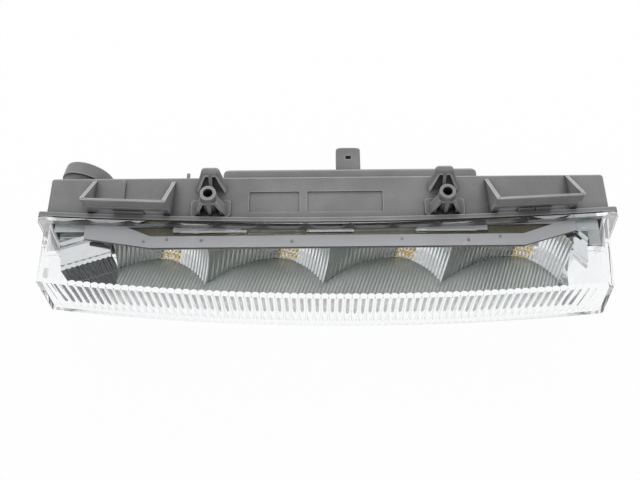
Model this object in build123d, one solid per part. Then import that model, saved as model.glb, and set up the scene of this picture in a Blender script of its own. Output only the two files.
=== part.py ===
from build123d import *
import os
from math import atan, cos, degrees, radians, sin, tan

# Daytime running light for a car bumper, in millimetres.
# It is drawn in a frame whose Y axis points to the back, with y = 0 at the middle of the joint between
# housing and lens and z = 0 at the top wall. The finished pieces are then moved so that the origin is
# the middle of the two screw holes, on top of their bosses.

# Body outline seen from the front
BODY_LENGTH = 289.6
BODY_HEIGHT = 40.0
LEFT_SLANT = -2.7
RIGHT_SLANT = 5.5
CORNER_RADIUS = 2.2
INNER_CORNER_RADIUS = 1.0
BODY_HALF = BODY_LENGTH / 2

# Joint between housing and lens
FLANGE_LIP = 3.0
JOINT_BOW = 4.7
HOUSING_FLANGE = 2.4
SEAL_THICKNESS = 0.8
SEAL_INSET = 0.7
LENS_FLANGE = 1.8
LENS_FLANGE_LIP = 3.0

# Clear lens
LENS_WALL = 2.6
LENS_FRONT_WALL = 2.4
LENS_DEPTH = 40.4
LENS_DRAFT = 0.8
LENS_DRIFT = -3.2
LENS_NARROWING = 2.0
FRONT_BOW = 8.0
FRONT_SKEW = 4.6
FLUTE_PITCH = 3.8
FLUTE_DEPTH = 0.9
LENS_EDGE_RADIUS = 1.0

# Housing shell
HOUSING_DEPTH = 28.5
HOUSING_WALL = 2.4
HOUSING_DRAFT = 0.4
REAR_EDGE_RADIUS = 1.2
FOOT_RIB_SPACING = 180.0
FOOT_RIB_WIDTH = 2.4
FOOT_RIB_START = 7.0
FOOT_RIB_END = 26.0

# Screw bosses on the top wall
BOSS_SPACING = 120.0
BOSS_Y = 10.8
BOSS_TOP = 14.0
BOSS_RADIUS = 4.0
BOSS_FOOT_RADIUS = 5.0
BOSS_BORE_RADIUS = 2.5
BOSS_BORE_FLOOR = 1.4
BOSS_RIB_WIDTH = 1.6
PAD_LENGTH = 20.4
PAD_DEPTH = 10.0
PAD_SHIFT = -1.6
PAD_HEIGHT = 0.8
PAD_RADIUS = 2.0

# Hollow skirt in front of each boss, open to the front
SKIRT_FOOT_WIDTH = 17.0
SKIRT_TOP_WIDTH = 8.4
SKIRT_TOP = 11.0
SKIRT_REACH = 6.6
SKIRT_TOP_REACH = 4.2
SKIRT_WALL = 1.3
SKIRT_MOUTH_FOOT = 9.0
SKIRT_MOUTH_KNEE = 4.4

# Ribbed tower behind each boss
TOWER_FOOT_WIDTH = 17.0
TOWER_FOOT_DEPTH = 8.0
TOWER_TIP_WIDTH = 8.6
TOWER_TIP_DEPTH = 5.0
TOWER_TIP_RADIUS = 1.7
TOWER_TOP = 11.0
TOWER_LEAN = 5.4
TOWER_WALL = 1.6
TOWER_GAP = 1.0
TOWER_ROUNDING = 0.45

# Bracket pockets on the top wall
BRACKET_LEFT_INSET = 22.4
BRACKET_LEFT_LENGTH = 42.4
BRACKET_RIGHT_INSET = 17.8
BRACKET_RIGHT_LENGTH = 44.0
BRACKET_GAP = 1.0
BRACKET_DEPTH = 20.9
BRACKET_TOP = 18.5
BRACKET_WALL = 1.8
BRACKET_BROW = 1.5
BRACKET_BROW_HEIGHT = 7.5
BRACKET_LIP = 1.1
BRACKET_EDGE_RADIUS = 0.8
SLOT_WIDTH = 10.0
SLOT_HEIGHT = 4.5
SLOT_INSET = 3.6
SLOT_SILL = 1.2
LEDGE_LENGTH = 8.0
LEDGE_DEPTH = 0.9
LEDGE_TOP = 6.2

# Raised and sunk panels of the top wall
LEFT_PAD_INSET = 39.8
LEFT_PAD_FRONT = 4.6
LEFT_PAD_RISE = 1.2
LEFT_PAD_BEVEL = 0.6
LEFT_PAD_RADIUS = 2.0
PANEL_DEPTH = 0.8
PANEL_RADIUS = 0.8
PANEL_LEFT_X = -27.5
PANEL_LEFT_LENGTH = 26.0
PANEL_RIGHT_X = 9.0
PANEL_RIGHT_LENGTH = 39.0
PANEL_Y = 13.4
PANEL_WIDTH = 12.0
PIP_OFFSET = 13.0
PIP_DROP = 2.0
PIP_RADIUS = 0.9
PIP_LENGTH = 3.0

# Breather at the left end of the back
NECK_INSET = 13.5
NECK_DROP = 14.2
NECK_RADIUS = 11.6
NECK_WALL = 1.8
NECK_LENGTH = 9.0
NECK_YAW = 14.0
VENT_BORE_RADIUS = 3.0
CAP_WALL = 1.4
CAP_GAP = 0.3
CAP_EDGE_RADIUS = 0.8
CAP_SLOT_WIDTH = 2.0
CAP_SLOT_HEIGHT = 2.0
# Turns of the slots about the neck, where 90 points down
CAP_SLOT_TURNS = (30, 90, 150)
COLLAR_INSET = 1.2
MEMBRANE_THICKNESS = 0.6

# Rear cover with the plug socket
COVER_LEFT = -55.5
COVER_RIGHT = 80.0
COVER_DROP = 6.0
COVER_HEIGHT = 30.0
COVER_BACK = 36.8
COVER_WALL = 2.0
COVER_CORNER = 3.4
COVER_EDGE_RADIUS = 2.0
COVER_SEAL = 0.8
COVER_SEAL_INSET = 0.5
WINDOW_MARGIN = 10.0
WINDOW_BORDER = 4.0
COVER_SCREW_INSET = 4.6
COVER_POST_RADIUS = 3.2
COVER_BOSS_LENGTH = 8.0
COVER_SCREW_RADIUS = 1.4
COVER_SCREW_LENGTH = 10.2
COVER_HEAD_RADIUS = 2.6
COVER_HEAD_HEIGHT = 1.6
SOCKET_X = 11.5
SOCKET_DROP = 8.0
SOCKET_WIDTH = 13.2
SOCKET_HEIGHT = 11.6
SOCKET_WALL = 1.5
SOCKET_RADIUS = 2.6
SOCKET_END = 50.8
SOCKET_FLOOR = 36.6
LATCH_WIDTH = 3.0
LATCH_LENGTH = 2.2
LATCH_INSET = 5.0
PIN_SPACING = 6.0
PIN_WIDTH = 0.8
PIN_HEIGHT = 1.6
PIN_TIP = 46.0
PIN_BEVEL = 0.2

# Heat sink and light board
PLATE_DROP = 5.5
PLATE_THICKNESS = 2.0
PLATE_LEFT_INSET = 19.8
PLATE_RIGHT_INSET = 17.3
PLATE_LEFT_TAPER = 34.0
PLATE_RIGHT_TAPER = 27.2
PLATE_FRONT = -10.2
PLATE_LEFT_FRONT = -4.6
PLATE_RIGHT_FRONT = -2.1
POCKET_LEFT_INSET = 21.6
POCKET_RIGHT_INSET = 11.8
POCKET_FRONT = -3.8
POCKET_BACK = 1.6
TAB_FRONT = -1.6
TAB_LENGTHS = (35.0, 23.0, 36.0)
PANEL_FRONT = 9.6
SINK_PANEL = 1.8
SINK_PANEL_BOTTOM = -33.0
FIN_COUNT = 17
FIN_PITCH = 11.5
FIN_WIDTH = 1.4
FIN_REACH = 7.0
FIN_LEAD_ROOM = 7.0
SINK_SCREW_LEFT_INSET = 13.0
SINK_SCREW_RIGHT_INSET = 15.5
SINK_SCREW_DROPS = (15.0, 28.0)
SINK_BOSS_RADIUS = 3.4
SINK_SCREW_RADIUS = 1.4
SINK_SCREW_LENGTH = 11.0
SCREW_HEAD_RADIUS = 2.5
SCREW_HEAD_HEIGHT = 1.8
SCREW_CLEARANCE = 0.25
THREAD_CLEARANCE = 0.1
HEAD_BEVEL_SHARE = 0.33
DRIVE_SHARE = 0.5
DRIVE_SIDES = 6
BOARD_THICKNESS = 1.6
BOARD_LEFT_INSET = 8.0
BOARD_RIGHT_INSET = 5.5
BOARD_BACK = 7.6
BOARD_FRONT_SETBACK = 0.5
BOARD_SCREW_RADIUS = 1.25
BOARD_SCREW_LENGTH = 11.0
BOARD_SCREW_Y = 4.6
LED_SIZE = 3.4
LED_HEIGHT = 0.6
PHOSPHOR_SIZE = 2.6
PHOSPHOR_HEIGHT = 0.25

# Reflector with four half bowls under the board
CELL_COUNT = 4
CELL_PITCH = 63.0
RIDGE_MIDDLE_X = 1.0
CELL_YAW = 20.0
FOCAL_LENGTH = 13.6
FOCUS_Y = -7.6
BOWL_RADIUS = 54.0
REFLECTOR_WALL = 1.8
REFLECTOR_FLOOR = -34.0
REFLECTOR_LEFT_INSET = 12.0
REFLECTOR_RIGHT_INSET = 1.0
REFLECTOR_FRONT_GAP = 4.5
RIDGE_BOSS_RADIUS = 2.9
RIDGE_BOSS_LENGTH = 14.0
RIDGE_WEB = 1.8
RIDGE_WEB_REACH = 12.0

# Bezel with a stepped wing at each end
BEZEL_THICKNESS = 1.3
BEZEL_STRIP_DEPTH = 9.0
BEZEL_GAP = 0.4
WING_WALL = 1.5
WING_LEFT_INSET = 6.3
WING_RIGHT_INSET = 10.3
WING_STRUT = 2.0
WING_TOP = -9.5
WING_FRONT = -13.0
WING_SWEEP = 4.0
WING_DEPTH = 17.0
# Steps of a wing from its back to its front fold: distance behind the fold, then drop below the top
WING_STEPS = ((12.0, 0.0), (12.0, 2.0), (10.0, 2.0), (10.0, 4.5), (2.0, 6.5), (2.0, 8.0), (0.0, 8.5))
WING_FLUTE_PITCH = 2.6
WING_FLUTE_RADIUS = 0.9

# Driver electronics in the rear cover
DRIVER_THICKNESS = 1.6
DRIVER_STANDOFF = 1.8
DRIVER_STANDOFF_RADIUS = 2.0
DRIVER_MARGIN = 9.0
DRIVER_BORDER = 3.4
INDUCTOR_X = -24.0
INDUCTOR_RADIUS = 5.2
INDUCTOR_HEIGHT = 5.5
INDUCTOR_FLANGE = 1.1
CAPACITOR_X = 34.0
CAPACITOR_PITCH = 11.0
CAPACITOR_RADIUS = 3.2
CAPACITOR_HEIGHT = 7.0
CAPACITOR_EDGE_RADIUS = 0.4
CHIP_X = -4.0
CHIP_PITCH = 60.0
CHIP_LENGTH = 6.2
CHIP_WIDTH = 5.0
CHIP_HEIGHT = 1.6
CHIP_BEVEL = 0.32
HEADER_X = 10.0
HEADER_LENGTH = 8.0
HEADER_WIDTH = 4.5
HEADER_HEIGHT = 3.4
LEAD_RADIUS = 0.7
LEAD_SPACING = 3.2
LEAD_BEND = 5.0
LEAD_FIRST_TURN = 0.45
LEAD_SECOND_TURN = 0.65

# Clearance between pieces that pass each other
CLEARANCE = 0.3
MARGIN = 20.0

# Places that follow from the sizes above
FOOT_LEVEL = -BODY_HEIGHT - FLANGE_LIP
REAR_INNER = HOUSING_DEPTH - HOUSING_WALL
LENS_BACK = -SEAL_THICKNESS
COVER_FRONT = HOUSING_DEPTH + COVER_SEAL
COVER_TOP = -COVER_DROP
COVER_BOTTOM = COVER_TOP - COVER_HEIGHT
COVER_MID_X = (COVER_LEFT + COVER_RIGHT) / 2
COVER_MID_Z = (COVER_TOP + COVER_BOTTOM) / 2
COVER_INNER = COVER_BACK - COVER_WALL
PLATE_LEFT = PLATE_LEFT_INSET - BODY_HALF
PLATE_RIGHT = BODY_HALF - PLATE_RIGHT_INSET
PLATE_LEFT_KNEE = PLATE_LEFT + PLATE_LEFT_TAPER
PLATE_RIGHT_KNEE = PLATE_RIGHT - PLATE_RIGHT_TAPER
POCKET_LEFT = PLATE_LEFT + POCKET_LEFT_INSET
POCKET_RIGHT = PLATE_RIGHT - POCKET_RIGHT_INSET
BOARD_LEFT = PLATE_LEFT + BOARD_LEFT_INSET
BOARD_RIGHT = PLATE_RIGHT - BOARD_RIGHT_INSET
REFLECTOR_LEFT = PLATE_LEFT + REFLECTOR_LEFT_INSET
REFLECTOR_RIGHT = PLATE_RIGHT - REFLECTOR_RIGHT_INSET
WING_LEFT_END = WING_LEFT_INSET - BODY_HALF
WING_RIGHT_END = BODY_HALF - WING_RIGHT_INSET
BRACKET_LEFT_X = BRACKET_LEFT_INSET + BRACKET_LEFT_LENGTH / 2 - BODY_HALF
BRACKET_RIGHT_X = BODY_HALF - BRACKET_RIGHT_INSET - BRACKET_RIGHT_LENGTH / 2
NECK_X = NECK_INSET - BODY_HALF
PLATE_TOP = -PLATE_DROP
PLATE_BOTTOM = PLATE_TOP - PLATE_THICKNESS
BOARD_BOTTOM = PLATE_BOTTOM - BOARD_THICKNESS
EMITTER_Z = BOARD_BOTTOM - LED_HEIGHT
REFLECTOR_TOP = EMITTER_Z - PHOSPHOR_HEIGHT
REFLECTOR_UNDERSIDE = REFLECTOR_FLOOR - REFLECTOR_WALL
BEZEL_BOTTOM = REFLECTOR_UNDERSIDE - BEZEL_THICKNESS
SINK_BACK = PANEL_FRONT + SINK_PANEL
DRIVER_BACK = COVER_INNER - DRIVER_STANDOFF
DRIVER_FRONT = DRIVER_BACK - DRIVER_THICKNESS
SOCKET_TOP = -SOCKET_DROP
SOCKET_MID_Z = SOCKET_TOP - SOCKET_HEIGHT / 2
YAW = radians(CELL_YAW)
RIDGE_LATERAL = CELL_PITCH * cos(YAW) / 2 - 2 * FOCAL_LENGTH * tan(YAW)
RIDGE_AXIAL = RIDGE_LATERAL ** 2 / (4 * FOCAL_LENGTH)
RIDGE_SHIFT = (FOCAL_LENGTH - RIDGE_AXIAL) * sin(YAW) + RIDGE_LATERAL * cos(YAW)
RIDGES = [RIDGE_MIDDLE_X + (i - CELL_COUNT / 2) * CELL_PITCH for i in range(1, CELL_COUNT)]
CELL_START = RIDGE_MIDDLE_X - RIDGE_SHIFT - CELL_COUNT / 2 * CELL_PITCH
CELLS = [CELL_START + i * CELL_PITCH for i in range(1, CELL_COUNT + 1)]
CAP_RADIUS = NECK_RADIUS + CAP_GAP + CAP_WALL
CAP_START = HOUSING_WALL + CLEARANCE + CAP_RADIUS * sin(radians(NECK_YAW))
CAP_END = HOUSING_WALL + NECK_LENGTH + CAP_GAP
BOSSES = (-BOSS_SPACING / 2, BOSS_SPACING / 2)


def block(x0, x1, y0, y1, z0, z1):
    """Block between two corners."""
    centre = Pos((x0 + x1) / 2, (y0 + y1) / 2, (z0 + z1) / 2)
    return centre * Box(x1 - x0, y1 - y0, z1 - z0)


def rod_back(x, z, radius, y0, y1):
    """Cylinder along Y from y0 to y1."""
    return Pos(x, (y0 + y1) / 2, z) * Rot(90, 0, 0) * Cylinder(radius, y1 - y0)


def post(x, y, radius, z0, z1):
    """Upright cylinder from z0 to z1."""
    return Pos(x, y, (z0 + z1) / 2) * Cylinder(radius, z1 - z0)


def body_outline(y, grow=0.0, drift=0.0, narrowing=0.0):
    """Body outline in the upright plane at y, grown outwards, moved along X and narrowed at both ends."""
    left = drift - BODY_HALF + narrowing
    right = drift + BODY_HALF - narrowing
    corners = [
        (left, 0), (right, 0), (right + RIGHT_SLANT, -BODY_HEIGHT), (left + LEFT_SLANT, -BODY_HEIGHT),
    ]
    face = make_face(Polyline(*corners, close=True))
    if grow != 0:
        face = offset(face, grow, kind=Kind.INTERSECTION)
    radius = INNER_CORNER_RADIUS if grow <= -HOUSING_WALL else CORNER_RADIUS
    return Plane.XZ.offset(-y) * fillet(face.vertices(), radius)


def bowed_line(middle, bow, skew=0.0):
    """Three plan points of an arc that bows to the front, past both ends of the body."""
    reach = BODY_HALF + MARGIN
    rise = bow * (reach / BODY_HALF) ** 2
    lean = skew / 2 * reach / BODY_HALF
    return [(-reach, middle + rise + lean), (0, middle), (reach, middle + rise - lean)]


def joint_line(y):
    """Plan arc parallel to the joint."""
    return bowed_line(y, JOINT_BOW)


def joint_y(x):
    """Place of the joint at x."""
    return JOINT_BOW * (x / BODY_HALF) ** 2


def joint_yaw(x):
    """Turn of the joint at x, in degrees."""
    return degrees(atan(2 * JOINT_BOW * x / BODY_HALF ** 2))


def front_line(inset):
    """Plan arc parallel to the front of the lens."""
    return bowed_line(inset - LENS_DEPTH, FRONT_BOW, FRONT_SKEW)


def front_y(x, inset):
    """Place of the front arc at x."""
    share = x / BODY_HALF
    return inset - LENS_DEPTH + FRONT_BOW * share ** 2 - FRONT_SKEW / 2 * share


def upright(face):
    """Plan face drawn up and down past the body."""
    depth = BODY_HEIGHT + 2 * MARGIN
    return Pos(0, 0, -BODY_HEIGHT - MARGIN) * extrude(face, depth)


def slab(front, back):
    """Upright slab between two plan arcs."""
    sides = [Line(front[2], back[2]), Line(back[0], front[0])]
    return upright(make_face([ThreePointArc(*front), ThreePointArc(*back)] + sides))


def slab_to(front, back_y):
    """Upright slab from a plan arc to a flat back."""
    left = (front[0][0], back_y)
    right = (front[2][0], back_y)
    sides = [Line(front[2], right), Line(right, left), Line(left, front[0])]
    return upright(make_face([ThreePointArc(*front)] + sides))


def flange_ring(front_offset, back_offset, grow):
    """Plate that follows the joint, as wide as the grown outline."""
    prism = extrude(body_outline(MARGIN, grow), 2 * MARGIN)
    return prism & slab(joint_line(front_offset), joint_line(back_offset))


def lens_block(grow):
    """Tapered block of the lens, before its front and joint are cut."""
    back = body_outline(MARGIN, grow)
    front = body_outline(-LENS_DEPTH - MARGIN, grow - LENS_DRAFT, LENS_DRIFT, LENS_NARROWING)
    return loft([back, front])


def fluted_front():
    """Plan of the lens cavity, with a scalloped front that bulges inwards."""
    count = int(2 * BODY_HALF / FLUTE_PITCH)
    start = -count * FLUTE_PITCH / 2
    cusps = [start + i * FLUTE_PITCH for i in range(count + 1)]
    edges = []
    for x0, x1 in zip(cusps, cusps[1:]):
        middle = (x0 + x1) / 2
        crest = front_y(middle, LENS_FRONT_WALL + FLUTE_DEPTH)
        ends = [(x, front_y(x, LENS_FRONT_WALL)) for x in (x0, x1)]
        edges.append(ThreePointArc(ends[0], (middle, crest), ends[1]))
    reach = BODY_HALF + MARGIN
    left = (cusps[0], front_y(cusps[0], LENS_FRONT_WALL))
    right = (cusps[-1], front_y(cusps[-1], LENS_FRONT_WALL))
    corners = [right, (reach, right[1]), (reach, MARGIN), (-reach, MARGIN), (-reach, left[1]), left]
    return make_face(edges + [Polyline(*corners)])


def lens():
    """Clear cover with its flange and the flutes inside its front wall."""
    shell = lens_block(0) & slab(front_line(0), joint_line(LENS_BACK))
    front_edges = shell.faces().sort_by(Axis.Y)[0].edges()
    shell = fillet(front_edges, LENS_EDGE_RADIUS)
    shell += flange_ring(LENS_BACK - LENS_FLANGE, LENS_BACK, LENS_FLANGE_LIP)
    return shell - (lens_block(-LENS_WALL) & upright(fluted_front()))


def lens_seal():
    """Bead between the two flanges."""
    ring = flange_ring(LENS_BACK, 0, LENS_FLANGE_LIP - SEAL_INSET)
    return ring - extrude(body_outline(MARGIN, -LENS_WALL), 2 * MARGIN)


def housing_block(grow):
    """Tapered block of the housing, before its joint and back are cut."""
    return loft([body_outline(-MARGIN, grow), body_outline(HOUSING_DEPTH, grow - HOUSING_DRAFT)])


def housing_shell():
    """Back shell with its flange, hollow and open at the joint."""
    outer = housing_block(0) & slab_to(joint_line(0), HOUSING_DEPTH + MARGIN)
    rear_edges = outer.faces().sort_by(Axis.Y)[-1].edges()
    outer = fillet(rear_edges, REAR_EDGE_RADIUS)
    outer += flange_ring(0, HOUSING_FLANGE, FLANGE_LIP)
    return outer - (housing_block(-HOUSING_WALL) & slab_to(joint_line(-MARGIN), REAR_INNER))


def tower_section(z, centre_y, width, depth):
    """Rounded section of a tower at height z."""
    return Pos(0, centre_y, z) * RectangleRounded(width, depth, TOWER_ROUNDING * min(width, depth))


def tower():
    """Leaning ribbed tower that stands behind a boss, cored from the front."""
    foot_y = BOSS_Y + BOSS_FOOT_RADIUS + TOWER_GAP + TOWER_FOOT_DEPTH / 2
    tip_y = foot_y + TOWER_LEAN
    sunk = -HOUSING_WALL / 2
    body = loft([
        tower_section(sunk, foot_y, TOWER_FOOT_WIDTH, TOWER_FOOT_DEPTH),
        tower_section(TOWER_TOP, tip_y, TOWER_TIP_WIDTH, TOWER_TIP_DEPTH),
    ])
    body = fillet(body.faces().sort_by(Axis.Z)[-1].edges(), TOWER_TIP_RADIUS)
    foot_core = (TOWER_FOOT_WIDTH - 3 * TOWER_WALL) / 2
    tip_core = (TOWER_TIP_WIDTH - 3 * TOWER_WALL) / 2
    for side in (-1, 1):
        foot = Pos(side * (foot_core + TOWER_WALL) / 2, foot_y - TOWER_FOOT_DEPTH / 2, 0)
        tip = Pos(side * (tip_core + TOWER_WALL) / 2, tip_y - TOWER_TIP_DEPTH / 2, TOWER_TOP - TOWER_WALL)
        body -= loft([
            foot * Rectangle(foot_core, TOWER_FOOT_DEPTH),
            tip * Rectangle(tip_core, TOWER_TIP_DEPTH),
        ])
    return body


def skirt():
    """Hollow skirt in front of a boss, with a rib in the middle of its mouth."""
    sunk = -HOUSING_WALL / 2
    foot = Pos(0, -SKIRT_REACH / 2, sunk) * Rectangle(SKIRT_FOOT_WIDTH, SKIRT_REACH)
    top = Pos(0, -SKIRT_TOP_REACH / 2, SKIRT_TOP) * Rectangle(SKIRT_TOP_WIDTH, SKIRT_TOP_REACH)
    body = loft([foot, top])
    slope = (SKIRT_FOOT_WIDTH - SKIRT_TOP_WIDTH) / 2 / (SKIRT_TOP - sunk)
    knee = SKIRT_FOOT_WIDTH / 2 - SKIRT_WALL - slope * (SKIRT_MOUTH_KNEE - sunk)
    brow = SKIRT_TOP_WIDTH / 2 - SKIRT_WALL
    half = [
        (SKIRT_MOUTH_FOOT / 2, PAD_HEIGHT), (knee, SKIRT_MOUTH_KNEE), (brow, SKIRT_TOP - SKIRT_WALL),
    ]
    mirrored = [(-x, z) for x, z in reversed(half)]
    mouth = make_face(Polyline(*half, *mirrored, close=True))
    body -= extrude(Plane.XZ.offset(SKIRT_WALL) * mouth, SKIRT_REACH)
    rib_foot = Pos(0, -SKIRT_REACH / 2, sunk) * Rectangle(BOSS_RIB_WIDTH, SKIRT_REACH)
    rib_top = Pos(0, -SKIRT_TOP_REACH / 2, SKIRT_TOP) * Rectangle(BOSS_RIB_WIDTH, SKIRT_TOP_REACH)
    return body + loft([rib_foot, rib_top])


def screw_boss():
    """Bored boss on its pad, with the skirt in front of it and the tower behind it."""
    sunk = -HOUSING_WALL / 2
    height = BOSS_TOP - sunk
    column = Pos(0, BOSS_Y, (BOSS_TOP + sunk) / 2) * Cone(BOSS_FOOT_RADIUS, BOSS_RADIUS, height)
    pad = extrude(RectangleRounded(PAD_LENGTH, PAD_DEPTH, PAD_RADIUS), PAD_HEIGHT - sunk)
    body = column + Pos(0, BOSS_Y, 0) * skirt() + Pos(0, BOSS_Y + PAD_SHIFT, sunk) * pad + tower()
    return body - post(0, BOSS_Y, BOSS_BORE_RADIUS, BOSS_BORE_FLOOR, BOSS_TOP + CLEARANCE)


def bracket(x, length):
    """Pocket for a hook, parallel to the joint, with a stepped front wall and two sloping side walls."""
    sunk = -HOUSING_WALL / 2
    half = length / 2
    shelf = BRACKET_TOP - BRACKET_BROW_HEIGHT
    lip_back = BRACKET_LIP - BRACKET_BROW
    brow = block(-half, half, -BRACKET_BROW, lip_back, shelf, BRACKET_TOP)
    brow = fillet(brow.edges().filter_by(Axis.Z).group_by(Axis.Y)[0], BRACKET_EDGE_RADIUS)
    front = brow + block(-half, half, 0, BRACKET_WALL, sunk, shelf)
    front += block(-half, half, lip_back, BRACKET_WALL, shelf, shelf + BRACKET_LIP)
    profile = Polyline(
        (0, sunk), (BRACKET_DEPTH, sunk), (BRACKET_DEPTH, 0), (lip_back, BRACKET_TOP), (lip_back, shelf),
        (0, shelf), close=True,
    )
    side = extrude(Plane.YZ * make_face(profile), BRACKET_WALL)
    body = front + Pos(-half, 0, 0) * side + Pos(half - BRACKET_WALL, 0, 0) * side
    for turn in (-1, 1):
        inner = half - SLOT_INSET - SLOT_WIDTH
        ledge = sorted((turn * inner, turn * (inner - LEDGE_LENGTH)))
        body += block(*ledge, -LEDGE_DEPTH, 0, sunk, LEDGE_TOP)
        slot = sorted((turn * inner, turn * (inner + SLOT_WIDTH)))
        wall = (-CLEARANCE, BRACKET_WALL + CLEARANCE)
        body -= block(*slot, *wall, SLOT_SILL, SLOT_SILL + SLOT_HEIGHT)
    start = joint_y(x) + HOUSING_FLANGE + BRACKET_GAP
    return Pos(x, start, 0) * Rot(0, 0, joint_yaw(x)) * body


def neck_place():
    """Frame of the breather neck on the back wall, with its own Z axis pointing out."""
    return Pos(NECK_X, REAR_INNER, -NECK_DROP) * Rot(0, 0, -NECK_YAW) * Rot(-90, 0, 0)


def neck_rise(distance):
    """Frame on the axis of the neck, at a distance from the inside of the back wall."""
    return neck_place() * Pos(0, 0, distance)


def neck_tube(radius, start, end):
    """Cylinder on the axis of the neck."""
    return neck_rise((start + end) / 2) * Cylinder(radius, end - start)


def cover_screw_places():
    """Centres of the four cover screws, in the upright plane."""
    xs = (COVER_LEFT + COVER_SCREW_INSET, COVER_RIGHT - COVER_SCREW_INSET)
    zs = (COVER_TOP - COVER_SCREW_INSET, COVER_BOTTOM + COVER_SCREW_INSET)
    return [(x, z) for x in xs for z in zs]


def sink_screw_places():
    """Centres of the four heat sink screws, in the upright plane."""
    xs = (PLATE_LEFT + SINK_SCREW_LEFT_INSET, PLATE_RIGHT - SINK_SCREW_RIGHT_INSET)
    return [(x, -drop) for x in xs for drop in SINK_SCREW_DROPS]


def top_panels():
    """Shallow sunk panels of the top wall."""
    panels = [(PANEL_LEFT_X, PANEL_LEFT_LENGTH), (PANEL_RIGHT_X, PANEL_RIGHT_LENGTH)]
    cuts = Part()
    for x, length in panels:
        outline = RectangleRounded(length, PANEL_WIDTH, PANEL_RADIUS)
        cuts += Pos(x, PANEL_Y, -PANEL_DEPTH) * extrude(outline, 2 * PANEL_DEPTH)
    return cuts


def housing():
    """Back shell with everything that is moulded on it."""
    body = housing_shell()
    sunk = -HOUSING_WALL / 2
    pad_left = -BODY_HALF + CORNER_RADIUS
    pad_back = HOUSING_DEPTH - REAR_EDGE_RADIUS - CLEARANCE
    pad_right = LEFT_PAD_INSET - BODY_HALF
    pad = block(pad_left, pad_right, LEFT_PAD_FRONT, pad_back, sunk, LEFT_PAD_RISE)
    pad = fillet(pad.edges().filter_by(Axis.Z), LEFT_PAD_RADIUS)
    body += chamfer(pad.faces().sort_by(Axis.Z)[-1].edges(), LEFT_PAD_BEVEL)
    body += bracket(BRACKET_LEFT_X, BRACKET_LEFT_LENGTH)
    body += bracket(BRACKET_RIGHT_X, BRACKET_RIGHT_LENGTH)
    for x in BOSSES:
        body += Pos(x, 0, 0) * screw_boss()
    pip_x = BOSSES[0] - PIP_OFFSET
    body += rod_back(pip_x, -PIP_DROP, PIP_RADIUS, REAR_INNER, HOUSING_DEPTH + PIP_LENGTH)
    for side in (-1, 1):
        x = side * FOOT_RIB_SPACING / 2
        half = FOOT_RIB_WIDTH / 2
        top = -BODY_HEIGHT + HOUSING_WALL / 2
        body += block(x - half, x + half, FOOT_RIB_START, FOOT_RIB_END, FOOT_LEVEL, top)
    body += neck_tube(CAP_RADIUS - COLLAR_INSET, 0, CAP_START - CLEARANCE)
    body += neck_tube(NECK_RADIUS, 0, HOUSING_WALL + NECK_LENGTH)
    body -= neck_tube(NECK_RADIUS - NECK_WALL, HOUSING_WALL, HOUSING_WALL + NECK_LENGTH + CLEARANCE)
    body -= neck_tube(VENT_BORE_RADIUS, -HOUSING_WALL, 2 * HOUSING_WALL)
    for x, z in sink_screw_places():
        body += rod_back(x, z, SINK_BOSS_RADIUS, SINK_BACK, REAR_INNER + HOUSING_WALL / 2)
        tip = PANEL_FRONT + SINK_SCREW_LENGTH + CLEARANCE
        body -= rod_back(x, z, SINK_SCREW_RADIUS + THREAD_CLEARANCE, SINK_BACK - CLEARANCE, tip)
    for x, z in cover_screw_places():
        body += rod_back(x, z, COVER_POST_RADIUS, REAR_INNER - COVER_BOSS_LENGTH, REAR_INNER)
        tip = COVER_BACK - COVER_HEAD_HEIGHT - COVER_SCREW_LENGTH - CLEARANCE
        body -= rod_back(x, z, COVER_SCREW_RADIUS + THREAD_CLEARANCE, tip, HOUSING_DEPTH + CLEARANCE)
    window = (COVER_LEFT + WINDOW_MARGIN, COVER_RIGHT - WINDOW_MARGIN)
    heights = (COVER_BOTTOM + WINDOW_BORDER, COVER_TOP - WINDOW_BORDER)
    body -= block(*window, REAR_INNER - CLEARANCE, HOUSING_DEPTH + CLEARANCE, *heights)
    return body - top_panels()


def cover_outline(inset):
    """Outline of the rear cover in the upright plane, with an inset."""
    length = COVER_RIGHT - COVER_LEFT - 2 * inset
    height = COVER_HEIGHT - 2 * inset
    return Pos(COVER_MID_X, COVER_MID_Z) * RectangleRounded(length, height, COVER_CORNER - inset)


def cover_slice(inset, y0, y1):
    """Prism of the cover outline between two depths."""
    return extrude(Plane.XZ.offset(-y1) * cover_outline(inset), y1 - y0)


def cover_seal():
    """Gasket between the housing and the rear cover."""
    ring = cover_slice(COVER_SEAL_INSET, HOUSING_DEPTH, COVER_FRONT)
    ring -= cover_slice(COVER_WALL + COVER_SEAL_INSET, HOUSING_DEPTH - CLEARANCE, COVER_FRONT + CLEARANCE)
    return ring


def socket_slice(inset, y0, y1):
    """Prism of the plug socket outline between two depths."""
    outline = RectangleRounded(SOCKET_WIDTH - 2 * inset, SOCKET_HEIGHT - 2 * inset, SOCKET_RADIUS - inset)
    placed = Plane.XZ.offset(-y1) * (Pos(SOCKET_X, SOCKET_MID_Z) * outline)
    return extrude(placed, y1 - y0)


def pin_places():
    """Centres of the two terminal pins along X."""
    return (SOCKET_X - PIN_SPACING / 2, SOCKET_X + PIN_SPACING / 2)


def standoff_places():
    """Centres of the posts that carry the driver board, in the upright plane."""
    left = COVER_LEFT + DRIVER_MARGIN + 2 * DRIVER_STANDOFF_RADIUS
    right = COVER_RIGHT - DRIVER_MARGIN - 2 * DRIVER_STANDOFF_RADIUS
    return [(left, COVER_MID_Z), (right, COVER_MID_Z)]


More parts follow.
